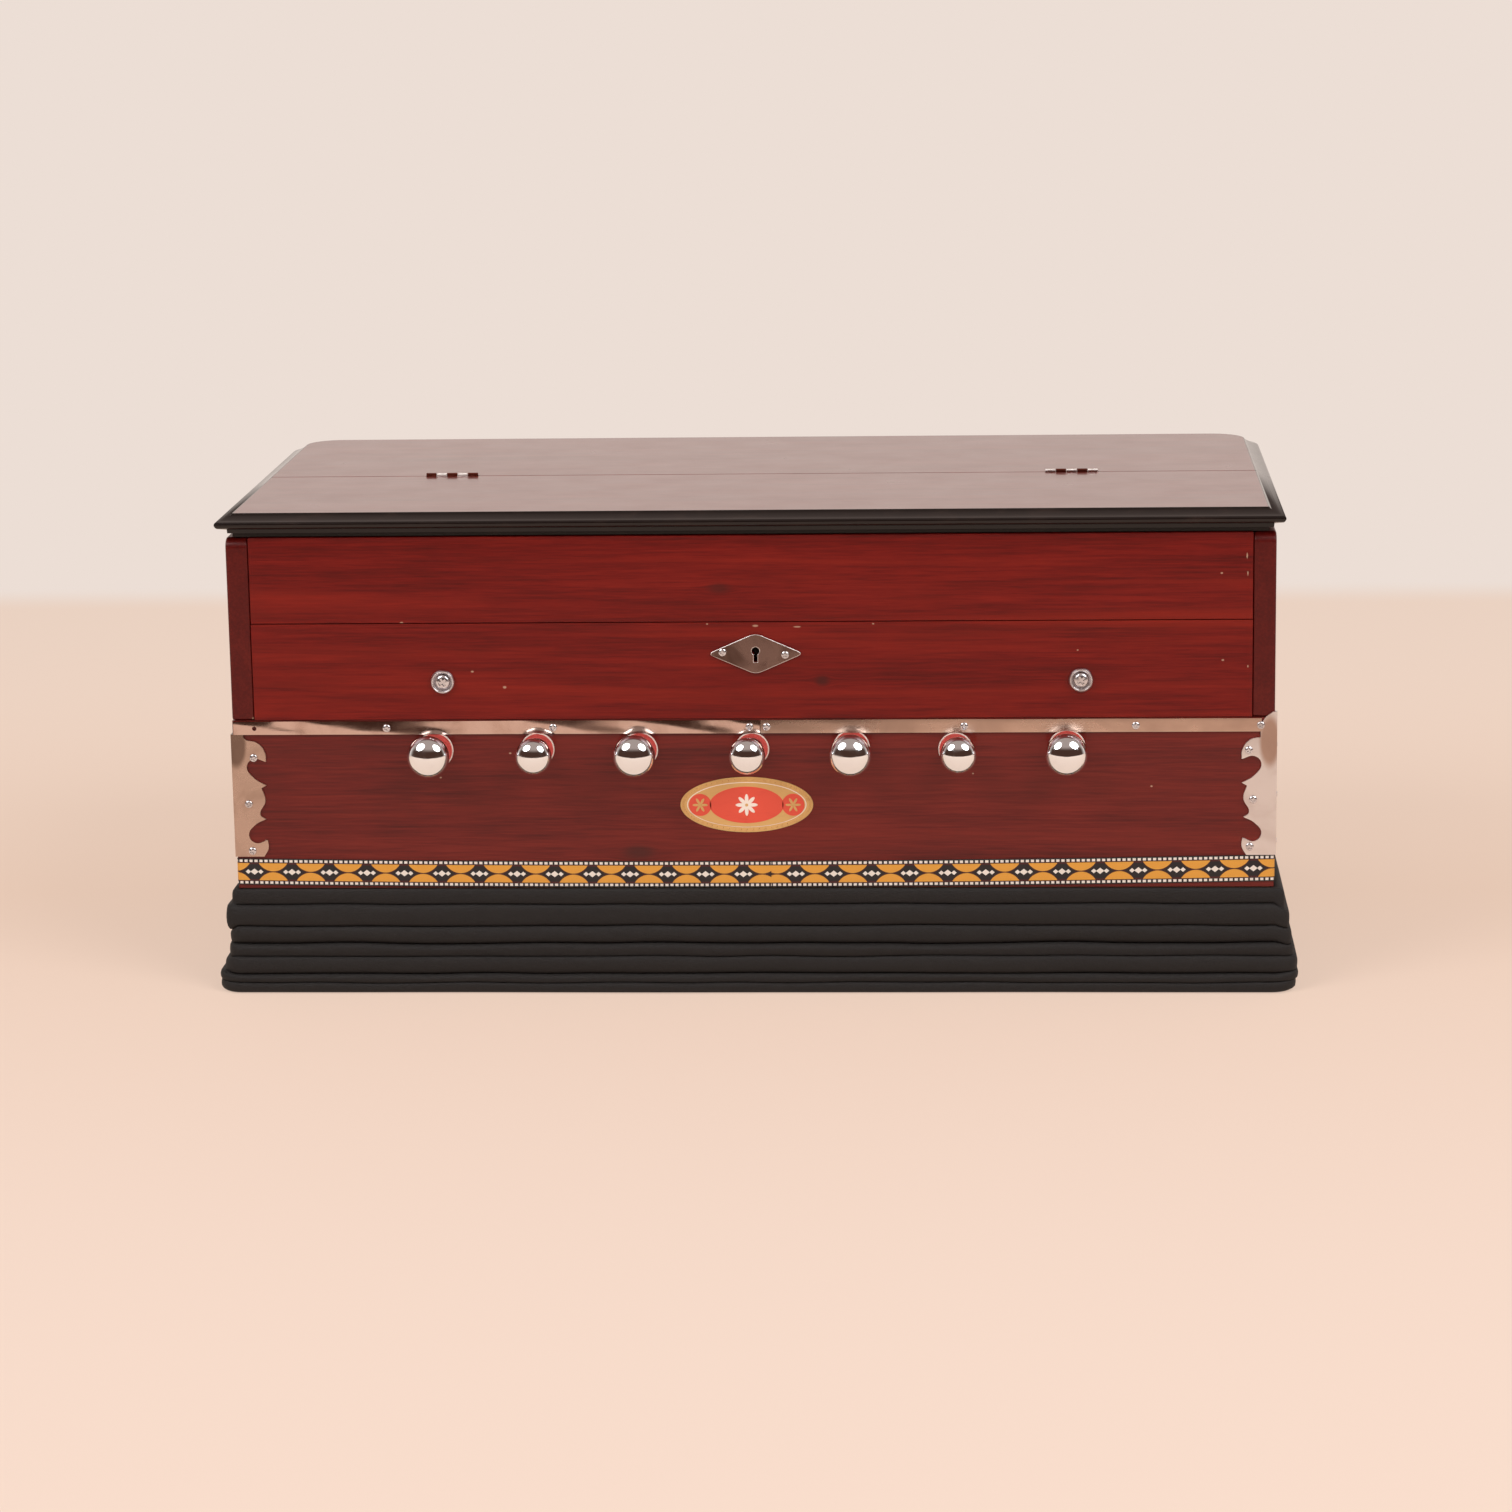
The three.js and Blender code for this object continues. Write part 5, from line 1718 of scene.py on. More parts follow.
@dataclass
class PlateWork(Part):
    """The bright metal on the front: the strip's two lengths, the lock plate and the studs."""

    fasteners: Fasteners
    strip_low: float = 0.1547
    strip_high: float = 0.1625
    strip_tilts: tuple[tuple[float, float, float], ...] = ((0.035, 0.035, 0.14), (0.075, 0.0, 0.02))
    """For each length, how far its left and right end lean back, and how far that wavers."""
    strip_ends: tuple[tuple[float, float], ...] = ((-0.3044, 0.0057), (0.0061, 0.2972))
    screw_height: float = 0.1584
    strip_screws: tuple[tuple[float, ...], ...] = (
        (-0.2136, -0.1155, -0.0003), (0.0097, 0.1249, 0.2245, 0.2968),
    )
    empty_hole: float = -0.2919
    stud_places: tuple[tuple[float, float], ...] = ((-0.1797, 0.1859), (0.1928, 0.1855))
    stud_radius: float = 0.00725

    def _strip(
        self, low: float, high: float, name: str, screws: Sequence[float],
        tilt: tuple[float, float, float], look: bpy.types.Material,
    ) -> None:
        """Makes one length of the strip, hammered a little out of true, with its screws.

        Args:
            low: its left end.
            high: its right end.
            name: the node that it replaces.
            screws: where its screws are.
            tilt: how far its ends lean back, and how far that wavers.
            look: its finish.
        """
        shape = bmesh.new()
        tall = self.strip_high - self.strip_low
        stretch = Matrix.Diagonal((high - low, tall, 1, 1))
        centre = ((low + high) / 2, FRONT - 0.0009, (self.strip_low + self.strip_high) / 2)
        matrix = Matrix.Translation(centre) @ UPRIGHT @ stretch
        columns = int((high - low) / 0.002)
        bmesh.ops.create_grid(shape, x_segments=columns, y_segments=6, size=0.5, matrix=matrix)
        for vert in shape.verts:
            rise = (vert.co.z - self.strip_low) / tall * 2 - 1
            near = min((abs(vert.co.x - x) for x in screws), default=1.0)
            dent = math.exp(-((near / 0.006) ** 2)) * 0.00006
            wave = noise.noise(Vector((vert.co.x * 30 + rise * 0.3, 0.7, 0.2)))
            along = min(1.0, (vert.co.x - low) / (high - low) * 2)
            lean = tilt[0] + (tilt[1] - tilt[0]) * along + tilt[2] * wave
            vert.co.y += lean * rise * tall / 2 + abs(rise) ** 8 * 0.00005 + dent
            vert.co.z += noise.noise(Vector((vert.co.x * 16, 1.7, 4.0))) * 0.00035 * max(0.0, rise)
        bmesh.ops.recalc_face_normals(shape, faces=shape.faces)
        bmesh.ops.solidify(shape, geom=list(shape.faces), thickness=-0.0004)
        bmesh.ops.recalc_face_normals(shape, faces=shape.faces)
        if low < self.empty_hole < high:
            middle = Vector((self.empty_hole, FRONT, self.screw_height))
            outline = [(0.0, -0.004), (0.0013, -0.004), (0.0013, 0.004), (0.0, 0.004)]
            shape = Workshop.cut(shape, Workshop.lathe(outline, middle, PLAYER, 24))
        for face in shape.faces:
            face.material_index = 0
        for count, across in enumerate(screws):
            place = (across, FRONT - 0.0010, self.screw_height)
            self.fasteners.put(shape, place, PLAYER, 0.5 + 1.1 * count, 1)
        looks = [look, self.palette.nickel]
        self.workshop.piece(shape, f"{name}_sheet", looks, "cabinet", Slot.NICKEL, [name])

    def _studs(self) -> None:
        """Turns the two studs of the slip panel, each with a rim, a dish and a screw."""
        radius = self.stud_radius
        outline = [
            (0.0, 0.0006), (radius * 0.60, 0.0006), (radius * 0.68, 0.0010),
            (radius * 0.76, 0.0020), (radius * 0.82, 0.0024), (radius * 0.88, 0.0024),
            (radius * 0.95, 0.0019), (radius, 0.0009), (radius, 0.0), (0.0, 0.0),
        ]
        for side, (across, height) in zip(("left", "right"), self.stud_places):
            centre = Vector((across, FRONT - 0.0002, height))
            shape = Workshop.lathe(outline, centre, PLAYER, 40)
            for face in shape.faces:
                reach = (face.calc_center_median() - centre).xz.length
                face.material_index = 1 if reach < radius * 0.6 else 0
            facing = PLAYER.to_track_quat("Z", "Y").to_matrix().to_4x4()
            raised = Matrix.Translation(centre + Vector((0, -0.0007, 0)))
            turned = facing @ Matrix.Rotation(0.6, 4, "Z")
            matrix = raised @ turned @ Matrix.Diagonal((1.75, 1.75, 1.5, 1))
            Workshop.add(shape, self.fasteners.screw, matrix, 0)
            name, looks = f"panel_stud_{side}", [self.palette.nickel, self.palette.bronze]
            self.workshop.piece(shape, f"{name}_turned", looks, "cabinet", Slot.NICKEL, [name])

    def _lock(self) -> None:
        """Dresses the lock plate, with a painted highlight on its rim, and sets its two screws."""
        plate = self.workshop.dress("escutcheon", self.palette.bronze, 0.0007)
        # The rounded rim takes the pale satin nickel as a painted highlight along the plate's edge.
        plate.data.materials.append(self.palette.bracket)
        plate.modifiers["soft edges"].material = 1
        shape = bmesh.new()
        for count, (across, height) in enumerate(((-0.0154, 0.2028), (0.0212, 0.2012))):
            self.fasteners.put(shape, (across, FRONT - 0.0012, height), PLAYER, 0.3 + 0.5 * count)
        self.workshop.piece(
            shape, "lock_plate_screws", [self.palette.nickel], "cabinet", Slot.NICKEL
        )

    def build(self) -> None:
        """Makes all the bright plates."""
        names = ("trim_strip_left", "trim_strip_right")
        looks = (self.palette.sheet, self.palette.tan_sheet)
        lengths = zip(self.strip_ends, names, self.strip_screws, self.strip_tilts, looks)
        for (low, high), *rest in lengths:
            self._strip(low, high, *rest)
        self._studs()
        self._lock()


@dataclass
class CornerBracket(Part):
    """A scrolled nickel bracket that wraps a front corner of the cabinet."""

    fasteners: Fasteners
    side: int
    name: str
    outer: float = 0.3060
    thick: float = 0.0012
    look: Optional[bpy.types.Material] = None
    screws: tuple[tuple[float, float], ...] = ()
    scroll: tuple[tuple[float, float, bool], ...] = (
        (0.0170, 0.0812, True), (0.0196, 0.0862, False), (0.0193, 0.0912, True),
        (0.0122, 0.0893, False), (0.0083, 0.0940, False), (0.0122, 0.1003, False),
        (0.0186, 0.1038, True), (0.0156, 0.1064, False), (0.0188, 0.1150, False),
        (0.0168, 0.1226, True), (0.0196, 0.1242, True), (0.0124, 0.1288, False),
        (0.0086, 0.1357, False), (0.0126, 0.1402, False), (0.0200, 0.1386, True),
        (0.0196, 0.1440, False), (0.0154, 0.1496, False), (0.0092, 0.1512, True),
    )
    """The scroll from the tape up: reach from the corner, height, and whether it is sharp."""
    tab_top: tuple[tuple[float, float, bool], ...] = (
        (0.0092, 0.1560, True), (0.0070, 0.1622, False), (0.0022, 0.1662, True),
    )
    rim: float = 0.0002

    def _leaf(self) -> Shape:
        """Makes one flat leaf with the corner on the Z axis and its reach along +X.

        Returns:
            The leaf, its back on the plane y = 0 and its face towards -Y.
        """
        curve = bpy.data.curves.new("leaf", "CURVE")
        curve.dimensions = "2D"
        curve.fill_mode = "BOTH"
        curve.extrude = self.thick / 2 - self.rim
        curve.bevel_depth = self.rim
        curve.bevel_resolution = 1
        curve.resolution_u = 10
        low = self.scroll[0][1]
        ends: list[tuple[float, float, bool]] = [(0.0, low, True), *self.scroll]
        ends += [*self.tab_top, (0.0, self.tab_top[-1][1], True)]
        line = curve.splines.new("BEZIER")
        line.bezier_points.add(len(ends) - 1)
        line.use_cyclic_u = True
        for point, (reach, height, sharp) in zip(line.bezier_points, ends):
            point.co = (reach, height, 0)
            kind = "VECTOR" if sharp else "AUTO"
            point.handle_left_type = kind
            point.handle_right_type = kind
        holder = linked("leaf", curve)
        shape = evaluated(holder)
        bpy.data.objects.remove(holder)
        Workshop.outward(shape)
        upright = Matrix.Translation((0, -self.thick / 2, 0)) @ UPRIGHT
        bmesh.ops.transform(shape, matrix=upright, verts=shape.verts)
        return shape

    def build(self) -> None:
        """Makes the bracket with its screws."""
        leaf = self._leaf()
        shape = bmesh.new()
        corner = Vector((self.side * self.outer, FRONT, 0))
        front = Matrix.Translation(corner) @ Matrix.Diagonal((-self.side, 1, 1, 1))
        Workshop.add(shape, leaf, front, 0)
        side = Matrix.Rotation(math.pi / 2, 4, "Z") @ Matrix.Diagonal((1, self.side, 1, 1))
        beside = Matrix.Translation((self.side * (self.outer - 0.0009), FRONT, 0)) @ side
        Workshop.join(shape, leaf, beside, 0)
        bmesh.ops.recalc_face_normals(shape, faces=shape.faces)
        for count, (across, height) in enumerate(self.screws):
            place = (across, FRONT - self.thick, height)
            self.fasteners.put(shape, place, PLAYER, 0.4 + 0.9 * count, 1)
            place = (
                self.side * (self.outer + 0.0002), FRONT + self.outer - abs(across) + 0.0002, height
            )
            self.fasteners.put(shape, place, (self.side, 0, 0), 0.2 + 0.7 * count, 1)
        looks = [self.look or self.palette.bracket, self.palette.nickel]
        self.workshop.piece(
            shape, f"{self.name}_scrolled", looks, "cabinet", Slot.NICKEL, [self.name]
        )


@dataclass
class FrontTrim(Part):
    """The border tape round the cabinet's foot and the gilt ornament on the front board."""

    tape_low: float = 0.0640
    tape_high: float = 0.0798
    tape_thick: float = 0.00035
    tape_sag: tuple[float, float, float] = (-0.0021, 0.0006, 0.0027)
    """How far the tape lies off its level at the middle, and how that changes towards the ends."""
    half_length: float = 0.3050
    rear: float = 0.1500
    start: float = 0.0112
    """Where the print's seam is."""
    seam_shift: float = 0.0137
    tape_marks: tuple[float, ...] = (-0.25, -0.19, -0.12, -0.05, 0.0112, 0.07, 0.13, 0.19, 0.25)
    badge_centre: tuple[float, float] = (-0.0027, 0.1117)
    badge_size: tuple[float, float] = (0.0390, 0.0166)
    beads: int = 64

    def _tape(self) -> None:
        """Wraps the tape round three sides, with the print's seam a little right of the middle."""
        shape = bmesh.new()
        print_map = shape.loops.layers.uv.new("print")
        out = 0.0002
        half, front, soft = self.half_length + out, FRONT - out, 0.0008
        path = [Vector((-half, self.rear, 0)), Vector((-half, -0.04, 0))]
        path += [Vector((-half, front + soft, 0)), Vector((-half + soft, front, 0))]
        seam = len(path) + self.tape_marks.index(self.start)
        path += [Vector((across, front, 0)) for across in self.tape_marks]
        path += [Vector((half - soft, front, 0)), Vector((half, front + soft, 0))]
        path += [Vector((half, self.rear, 0))]
        for point in path:
            share = point.x / half
            point.z = self.tape_sag[0] + self.tape_sag[1] * share + self.tape_sag[2] * share * share
        levels = (self.tape_low, self.tape_high)
        first = [shape.verts.new(path[0] + Vector((0, 0, level))) for level in levels]
        edge, run = shape.edges.new(first), 0.0
        for step, (before, after) in enumerate(zip(path, path[1:])):
            grown = bmesh.ops.extrude_edge_only(shape, edges=[edge])["geom"]
            bmesh.ops.translate(shape, vec=after - before, verts=only(grown, bmesh.types.BMVert))
            edge, face = only(grown, bmesh.types.BMEdge)[0], only(grown, bmesh.types.BMFace)[0]
            shift, length = self.seam_shift if step >= seam else 0.0, (after - before).length
            for loop in face.loops:
                place = loop.vert.co
                near = (place.xy - after.xy).length < (place.xy - before.xy).length
                level = 1.0 if place.z > (self.tape_low + self.tape_high) / 2 else 0.0
                loop[print_map].uv = (run + length + shift if near else run + shift, level)
            run += length
        bmesh.ops.recalc_face_normals(shape, faces=shape.faces)
        shape.faces.ensure_lookup_table()
        if shape.faces[4].normal.y > 0:
            bmesh.ops.reverse_faces(shape, faces=shape.faces)
        look = [self.palette.tape]
        tape = self.workshop.piece(shape, "border_tape", look, "cabinet", Slot.TAPE, bends=True)
        self.workshop.thicken(tape, self.tape_thick, 1.0)
        self.workshop.even(tape)

    @staticmethod
    def _oval(
        half_wide: float, half_tall: float, low: float, high: float, round_off: float,
        centre: Vector
    ) -> Shape:
        """Makes an oval plate that stands out from the front board.

        Args:
            half_wide: half its width.
            half_tall: half its height.
            low: how far its back stands off the board.
            high: how far its face stands off the board.
            round_off: how far its rim is rounded.
            centre: its middle on the board.

        Returns:
            The plate.
        """
        rim = 1.0 - round_off / half_wide
        outline = [(0.0, low), (1.0, low), (1.0, high - round_off), (rim, high), (0.0, high)]
        shape = Workshop.lathe(outline, Vector(), PLAYER, 72)
        matrix = Matrix.Translation(centre) @ Matrix.Diagonal((half_wide, 1, half_tall, 1))
        bmesh.ops.transform(shape, matrix=matrix, verts=shape.verts)
        return shape

    def _badge(self) -> None:
        """Builds the ornament: a beaded gilt oval, an enamel field and three rosettes."""
        centre = Vector((self.badge_centre[0], FRONT, self.badge_centre[1]))
        wide, tall = self.badge_size
        shape = bmesh.new()
        side = wide * 0.70
        layers = [
            (wide, tall, 0.0, 0.0006, 0, 0.0),
            (wide * 0.90, tall * 0.82, 0.0004, 0.0008, 2, 0.0),
            (wide * 0.885, tall * 0.795, 0.0006, 0.0010, 0, 0.0),
            (wide * 0.56, tall * 0.66, 0.0008, 0.0012, 1, 0.0),
        ]
        layers += [(tall * 0.40, tall * 0.40, 0.0008, 0.0012, 1, shift) for shift in (side, -side)]
        for half_wide, half_tall, low, high, look, shift in layers:
            middle = centre + Vector((shift, 0, 0))
            Workshop.join(
                shape, self._oval(half_wide, half_tall, low, high, 0.0002, middle), look=look
            )
        bead = bmesh.new()
        bmesh.ops.create_icosphere(bead, subdivisions=1, radius=0.0007)
        for count in range(self.beads):
            angle = TURN * count / self.beads
            reach = Vector((math.cos(angle) * wide * 0.955, -0.0006, math.sin(angle) * tall * 0.91))
            Workshop.add(shape, bead, Matrix.Translation(centre + reach), 0)
        bead.free()
        rosettes = ((0.0, 0.0064, 8, 2), (side, 0.0044, 6, 0), (-side, 0.0044, 6, 0))
        for shift, reach, petals, look in rosettes:
            middle = centre + Vector((shift, 0, 0))
            for count in range(petals):
                petal = self._oval(reach * 0.46, reach * 0.17, 0.001, 0.0015, 0.0002, Vector())
                turn = Matrix.Translation(middle) @ Matrix.Rotation(TURN * count / petals, 4, "Y")
                Workshop.join(shape, petal, turn @ Matrix.Translation((reach * 0.56, 0, 0)), look)
            heart = self._oval(reach * 0.16, reach * 0.16, 0.001, 0.0017, 0.0003, middle)
            Workshop.join(shape, heart, look=0)
        looks = [self.palette.gilt, self.palette.enamel, self.palette.cream]
        self.workshop.piece(shape, "front_ornament", looks, "cabinet", Slot.BADGE)

    def build(self) -> None:
        """Makes the tape and the ornament."""
        self._tape()
        self._badge()


RingPoint = tuple[Vector, Vector, float]
"""A point of a wall's outline: its place, the way out there, and how much it belongs to an end."""


@dataclass
class FoldedWall(Part):
    """A leathercloth wall in folds round a box, made of rings from one end to the other."""

    @staticmethod
    def ring_points(
        half_wide: float, half_deep: float, radius: float, per_metre: float, arc: int
    ) -> list[RingPoint]:
        """Walks round a rectangle with rounded corners.

        Args:
            half_wide: half its width.
            half_deep: half its depth.
            radius: its corners' radius.
            per_metre: how many points a metre of side has.
            arc: how many steps a corner has.

        Returns:
            The points, in order.
        """
        found: list[RingPoint] = []
        signs = ((1, -1), (1, 1), (-1, 1), (-1, -1))
        middles = [
            Vector((x * (half_wide - radius), y * (half_deep - radius), 0)) for x, y in signs
        ]
        for index, middle in enumerate(middles):
            for step in range(arc + 1):
                angle = math.radians(90 * (index - 1) + 90 * step / arc)
                out = Vector((math.cos(angle), math.sin(angle), 0))
                found.append((middle + out * radius, out, out.x * out.x))
            origin, target = middle + out * radius, middles[(index + 1) % 4] + out * radius
            count = max(2, int((target - origin).length * per_metre))
            found += [
                (origin.lerp(target, step / count), out, out.x * out.x) for step in range(1, count)
            ]
        return found

    @staticmethod
    def sweep(
        base: Sequence[RingPoint], rings: int, place: Callable[[RingPoint, int], Vector]
    ) -> Shape:
        """Makes the wall ring by ring.

        Args:
            base: the outline's points.
            rings: how many rings there are.
            place: puts a point of the outline in the ring of a number.

        Returns:
            The wall, open at both ends.
        """
        shape = bmesh.new()
        verts = bmesh.ops.create_circle(
            shape, cap_ends=False, segments=len(base), radius=1.0
        )["verts"]
        verts.sort(key=lambda vert: math.atan2(vert.co.y, vert.co.x) % TURN)
        edges = list(shape.edges)
        for ring in range(rings):
            if ring:
                grown = bmesh.ops.extrude_edge_only(shape, edges=edges)["geom"]
                edges = [
                    edge for edge in only(grown, bmesh.types.BMEdge) if len(edge.link_faces) == 1
                ]
                fresh = set(only(grown, bmesh.types.BMVert))
                above = {}
                for vert in fresh:
                    ends = (edge.other_vert(vert) for edge in vert.link_edges)
                    above[next(end for end in ends if end not in fresh)] = vert
                verts = [above[vert] for vert in verts]
            for vert, point in zip(verts, base):
                vert.co = place(point, ring)
        return Workshop.outward(shape)


@dataclass
class BaseWall(FoldedWall):
    """The folded wall between the cabinet and the floor."""

    half_length: float = 0.3050
    half_depth: float = 0.1525
    top: float = 0.0615
    bottom: float = 0.0006
    front_levels: tuple[tuple[float, float], ...] = (
        (0.0615, 0.0006), (0.0521, 0.0018), (0.0394, 0.0032), (0.0291, 0.0022), (0.0217, 0.0074),
        (0.0116, 0.0066), (0.0064, 0.0096), (0.0006, 0.0104),
    )
    """The height and outset of each groove of the front. Those of the sides follow."""
    front_swells: tuple[float, ...] = (0.0030, 0.0052, 0.0064, 0.0082, 0.0102, 0.0110, 0.0120)
    """How far each fold of the front stands out between its grooves."""
    left_levels: tuple[tuple[float, float], ...] = (
        (0.0615, 0.0006), (0.0520, 0.0060), (0.0360, 0.0030), (0.0290, 0.0054), (0.0200, 0.0062),
        (0.0130, 0.0100), (0.0070, 0.0116), (0.0006, 0.0070),
    )
    left_swells: tuple[float, ...] = (0.0046, 0.0080, 0.0062, 0.0074, 0.0100, 0.0130, 0.0128)
    right_levels: tuple[tuple[float, float], ...] = (
        (0.0615, 0.0006), (0.0480, 0.0072), (0.0370, 0.0082), (0.0270, 0.0104), (0.0210, 0.0120),
        (0.0125, 0.0134), (0.0070, 0.0130), (0.0006, 0.0070),
    )
    right_swells: tuple[float, ...] = (0.0068, 0.0092, 0.0110, 0.0124, 0.0146, 0.0150, 0.0136)
    steps: int = 8
    flat: float = 0.22
    """How square a fold's face is: a small share makes it flat with a tight turn at each groove."""
    thick: float = 0.0009
    unevenness: float = 0.0008
    """How far the cloth strays from its rings."""
    sharp: float = math.radians(70)
    cut: tuple[float, float] = (1.86, 0.095)

    def _rings(
        self, levels: Sequence[tuple[float, float]], swells: Sequence[float]
    ) -> list[tuple[float, float]]:
        """Lists one side's rings from the top down.

        Args:
            levels: the height and outset of each groove.
            swells: how far each fold stands out between its grooves.

        Returns:
            The height and outset of each ring.
        """
        rings = []
        for (high, out), (low, next_out), swell in zip(levels, levels[1:], swells):
            for step in range(self.steps):
                share = (1 - math.cos(math.pi * step / self.steps)) / 2
                full = math.sin(math.pi * share) ** self.flat if step else 0.0
                base = out + (next_out - out) * share
                rings.append((high + (low - high) * share, base + (swell - base) * full))
        return [*rings, levels[-1]]

    def _place(self, spot: RingPoint, ring: int) -> Vector:
        """Puts one point of a ring where the hanging cloth has it.

        Args:
            spot: the point of the cabinet's outline.
            ring: the ring's number from the top.

        Returns:
            The point's place.
        """
        point, out, end = spot
        height, outset = self.front_rings[ring]
        side_height, side_outset = (self.left_rings if out.x < 0 else self.right_rings)[ring]
        lobe = ring / self.steps
        share = end * end * (3 - 2 * end)
        slack = min(1.0, lobe / 1.2)
        stray = self.unevenness * slack
        ripple = noise.noise(Vector((point.x * 9, point.y * 9, lobe * 0.9))) * stray
        droop = noise.noise(Vector((point.x * 24 + 5, point.y * 24, round(lobe) * 1.7))) * stray
        bent = outset + (side_outset - outset) * share + ripple
        level = height + (side_height - height) * share
        free = 0.0 if level > self.top - 0.001 or level < self.bottom + 0.001 else 1.0
        level = max(self.bottom, level + droop * free)
        return Vector((point.x + out.x * bent, point.y + out.y * bent, level))

    def build(self) -> None:
        """Makes the wall."""
        base = self.ring_points(self.half_length, self.half_depth, 0.0012, 170, 7)
        self.front_rings = self._rings(self.front_levels, self.front_swells)
        self.left_rings = self._rings(self.left_levels, self.left_swells)
        self.right_rings = self._rings(self.right_levels, self.right_swells)
        shape = self.sweep(base, len(self.front_rings), self._place)
        wall = self.workshop.piece(
            shape, "base_wall_cloth", [self.palette.leathercloth], "cabinet", Slot.LEATHERCLOTH,
            ["base_folds"], self.sharp, bends=True,
        )
        self.workshop.thicken(wall, self.thick, -1.0)


@dataclass
class Keyboard(Part):
    """The keys: the moving octave as the CAD has it, the others as finer copies, and their rail."""

    names: tuple[str, ...] = (
        "c", "c_sharp", "d", "d_sharp", "e", "f", "f_sharp", "g", "g_sharp", "a", "a_sharp", "b",
    )
    octaves: tuple[int, ...] = (-1, 1, 2)
    last_octave_keys: int = 6
    octave_whites: int = 7
    round_off: float = 0.0004
    rail: tuple[tuple[float, ...], tuple[float, ...]] = (
        (-0.2917, -0.005, 0.1961), (0.2917, 0.005, 0.2140)
    )

    def build(self) -> None:
        """Dresses the moving keys and copies them for the other octaves."""
        white, black = bmesh.new(), bmesh.new()
        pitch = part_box("key_d")[0].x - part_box("key_c")[0].x
        for index, name in enumerate(self.names):
            dark = name.endswith("sharp")
            look = self.palette.ebony if dark else self.palette.key
            self.workshop.dress(f"key_{name}", look, self.round_off)
            copy = Workshop.node_copy(f"key_{name}")
            for octave in self.octaves:
                if octave == self.octaves[-1] and index >= self.last_octave_keys:
                    continue
                place = Matrix.Translation((octave * self.octave_whites * pitch, 0, 0))
                Workshop.add(black if dark else white, copy, place, 0)
            copy.free()
        for shape, name, look, slot in (
            (white, "outer_white_keys", self.palette.key, Slot.IVORY),
            (black, "outer_black_keys", self.palette.ebony, Slot.EBONY),
        ):
            piece = self.workshop.piece(
                shape, name, [look], "cabinet", slot, ["outer_keys"], bends=True
            )
            self.workshop.soften(piece, self.round_off)
        rail, look = Workshop.block(*self.rail, 0.0005), [self.palette.pale]
        self.workshop.piece(rail, "balance_rail", look, "cabinet", Slot.PALE_WOOD, ["outer_keys"])


@dataclass
class Reservoir(Part):
    """The wind reservoir in the base: boards, frame and the two springs."""

    sides: tuple[str, ...] = ("left", "right")
    wire: float = 0.0011
    turns: int = 4
    steps_per_turn: int = 28
    closed_share: float = 0.42

    def _spring(self, side: str) -> None:
        """Winds one spring in its node's place.

        Args:
            side: which end it stands at.
        """
        low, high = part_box(f"reservoir_spring_{side}")
        centre = (low + high) / 2
        reach = (high.x - low.x) / 2 - self.wire
        rise = high.z - low.z - 2 * self.wire
        shape = bmesh.new()
        foot = Vector((centre.x, centre.y, low.z + self.wire))
        start = Matrix.Translation(foot + Vector((reach, 0, 0))) @ UPRIGHT
        bmesh.ops.create_circle(shape, cap_ends=True, segments=10, radius=self.wire, matrix=start)
        steps = self.turns * self.steps_per_turn
        bmesh.ops.spin(
            shape, geom=list(shape.faces), cent=foot, axis=(0, 0, 1), dvec=(0, 0, rise / steps),
            angle=TURN * self.turns, steps=steps, use_merge=False, use_normal_flip=False,
            use_duplicate=False,
        )
        Workshop.outward(shape)
        piece = self.workshop.piece(
            shape, f"spring_{side}_coil", [self.palette.steel], "cabinet", Slot.STEEL,
            [f"reservoir_spring_{side}"], bends=True,
        )
        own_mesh(piece)

    def build(self) -> None:
        """Dresses the boards and winds the springs."""
        for node in ("base_board", "base_frame", "reservoir_board", "cabinet_floor"):
            self.workshop.dress(node, self.palette.pale, 0.0008)
        for side in self.sides:
            self._spring(side)


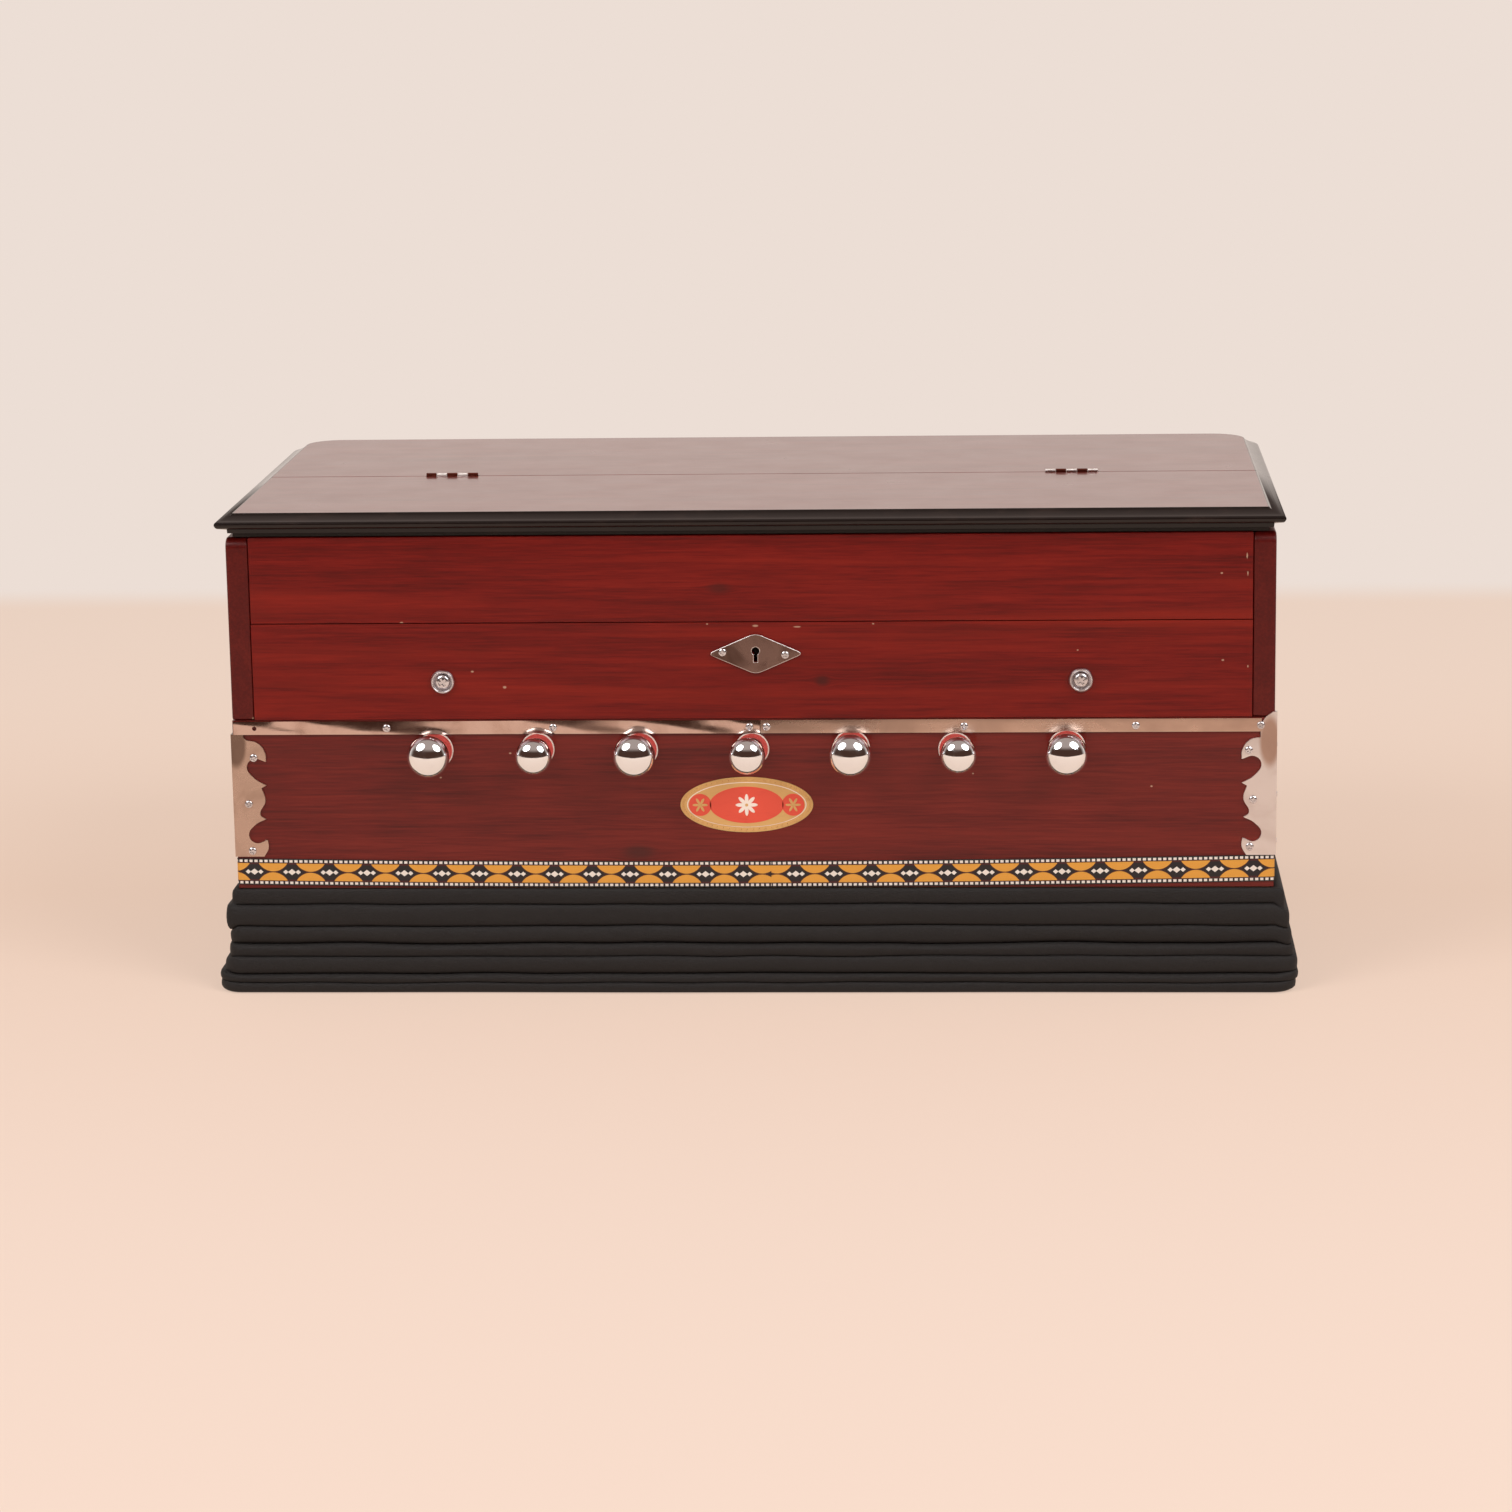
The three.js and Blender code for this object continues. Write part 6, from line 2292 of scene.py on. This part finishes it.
@dataclass
class PumpWall(FoldedWall):
    """The pump's pleated wall, which opens with the board."""

    half_wide: float = 0.2940
    low: float = 0.0798
    high: float = 0.2558
    near: float = 0.1530
    far: float = 0.1835
    pleats: int = 4
    depth: float = 0.0085
    thick: float = 0.0008
    flanks: tuple[tuple[float, float], ...] = ((0.12, 0.9), (0.88, 0.9))
    """Where a pleat's flanks start and end, and how deep they are there, as shares."""
    crest: tuple[tuple[float, float], ...] = ((0.40, 0.0006), (0.5, 0.0), (0.60, 0.0006))
    """Where a pleat's crest is, as a share, and how far it is drawn in there."""
    sharp: float = math.radians(60)
    cut: tuple[float, float] = (1.53, 0.080)

    def _profile(self) -> list[tuple[float, float]]:
        """Lists the wall's rings from the cabinet to the board.

        Returns:
            How far back each ring is, and how far it is drawn in.
        """
        span = (self.far - self.near) / self.pleats
        (rise, fall), rings = self.flanks, []
        for pleat in range(self.pleats):
            start = self.near + pleat * span
            rings += [(start, self.depth), (start + span * rise[0], self.depth * rise[1])]
            rings += [(start + span * along, inset) for along, inset in self.crest]
            rings += [(start + span * fall[0], self.depth * fall[1])]
        return [*rings, (self.far, self.depth)]

    def _place(self, spot: RingPoint, ring: int) -> Vector:
        """Puts one point of a ring on the pleated wall.

        Args:
            spot: the point of the pump's outline.
            ring: the ring's number from the cabinet.

        Returns:
            The point's place.
        """
        (point, out, _), (along, inset) = spot, self.rings[ring]
        ripple = noise.noise(Vector((point.x * 12, point.y * 12, along * 260))) * 0.0004
        inset, middle = inset + ripple, (self.high + self.low) / 2
        return Vector((point.x - out.x * inset, along, middle + point.y - out.y * inset))

    def build(self) -> None:
        """Makes the pleated wall."""
        base = self.ring_points(self.half_wide, (self.high - self.low) / 2, 0.010, 60, 6)
        self.rings = self._profile()
        shape = self.sweep(base, len(self.rings), self._place)
        wall = self.workshop.piece(
            shape, "pump_wall_cloth", [self.palette.leathercloth], None, Slot.LEATHERCLOTH,
            ["pump_folds"], self.sharp, bends=True,
        )
        self.near + 0.0002
        self.far - 0.0002
        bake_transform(wall)
        self.workshop.thicken(wall, self.thick, -1.0)


@dataclass
class PumpHinge(Part):
    """The leather strip under the pump that joins its rail to its board."""

    def build(self) -> None:
        """Makes the strip from the node's box, fine enough to bend."""
        low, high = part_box("pump_hinge")
        shape = Workshop.block(low, high)
        lengthwise = [
            edge for edge in shape.edges if abs(edge.verts[0].co.y - edge.verts[1].co.y) > 1e-4
        ]
        bmesh.ops.subdivide_edges(shape, edges=lengthwise, cuts=10, use_grid_fill=True)
        look, slot = [self.palette.leather], Slot.LEATHER
        name = "pump_hinge_leather"
        strip = self.workshop.piece(shape, name, look, None, slot, ["pump_hinge"], bends=True)
        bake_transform(strip)


@dataclass
class Carcass(Part):
    """The nodes that keep their CAD shape, each with its finish."""

    def build(self) -> None:
        """Dresses every kept node."""
        p = self.palette
        looks = {
            "side_board_left": (p.cheek, 0.0012), "side_board_right": (p.cheek, 0.0012),
            "front_board": (p.board, 0.0006), "slip_panel": (p.panel, 0.0012),
            "apron_panel": (p.panel, 0.0005), "back_board": (p.back, 0.0006),
            "key_bed": (p.pale, 0.0006), "reed_board": (p.pale_deep, 0.0006),
            "lock_case": (p.iron, 0.0004), "lock_bolt": (p.brass, 0.0003),
            "strike_plate": (p.brass, 0.0003), "pump_rail": (p.back, 0.0008),
            "pump_board": (p.back, 0.0010), "intake_flap": (p.leather, 0.0003),
            "latch_left": (p.brass, 0.0004), "latch_right": (p.brass, 0.0004),
            "latch_stud_left": (p.brass, 0.0003), "latch_stud_right": (p.brass, 0.0003),
        }
        for node, (look, round_off) in looks.items():
            self.workshop.dress(node, look, round_off)


def main() -> None:
    """Builds the studio and every piece."""
    logging.basicConfig(level=logging.INFO, format="%(name)s: %(message)s")
    Studio().build()
    workshop, palette = Workshop(), Palette()
    fasteners = Fasteners()
    Carcass(workshop, palette).build()
    Lid(workshop, palette).build()
    LidHinge(workshop, "left", (-0.2048, -0.1728), (palette.dull_nickel, palette.bright)).build()
    LidHinge(workshop, "right", (0.1734, 0.2054), (palette.bright, palette.dull_nickel)).build()
    StopRow(workshop, palette).build()
    PlateWork(workshop, palette, fasteners).build()
    CornerBracket(
        workshop, palette, fasteners, -1, "corner_bracket_left", look=palette.tan_bracket,
        tab_top=((0.0072, 0.1530, True), (0.0072, 0.1546, True)),
        screws=((-0.2930, 0.1408), (-0.2969, 0.1129), (-0.2958, 0.0845)),
    ).build()
    CornerBracket(
        workshop, palette, fasteners, 1, "corner_bracket_right",
        screws=((0.2900, 0.1436), (0.2926, 0.1142), (0.2909, 0.0861)),
    ).build()
    FrontTrim(workshop, palette).build()
    BaseWall(workshop, palette).build()
    Keyboard(workshop, palette).build()
    Reservoir(workshop, palette).build()
    PumpWall(workshop, palette).build()
    PumpHinge(workshop, palette).build()


if __name__ == "__main__":
    main()
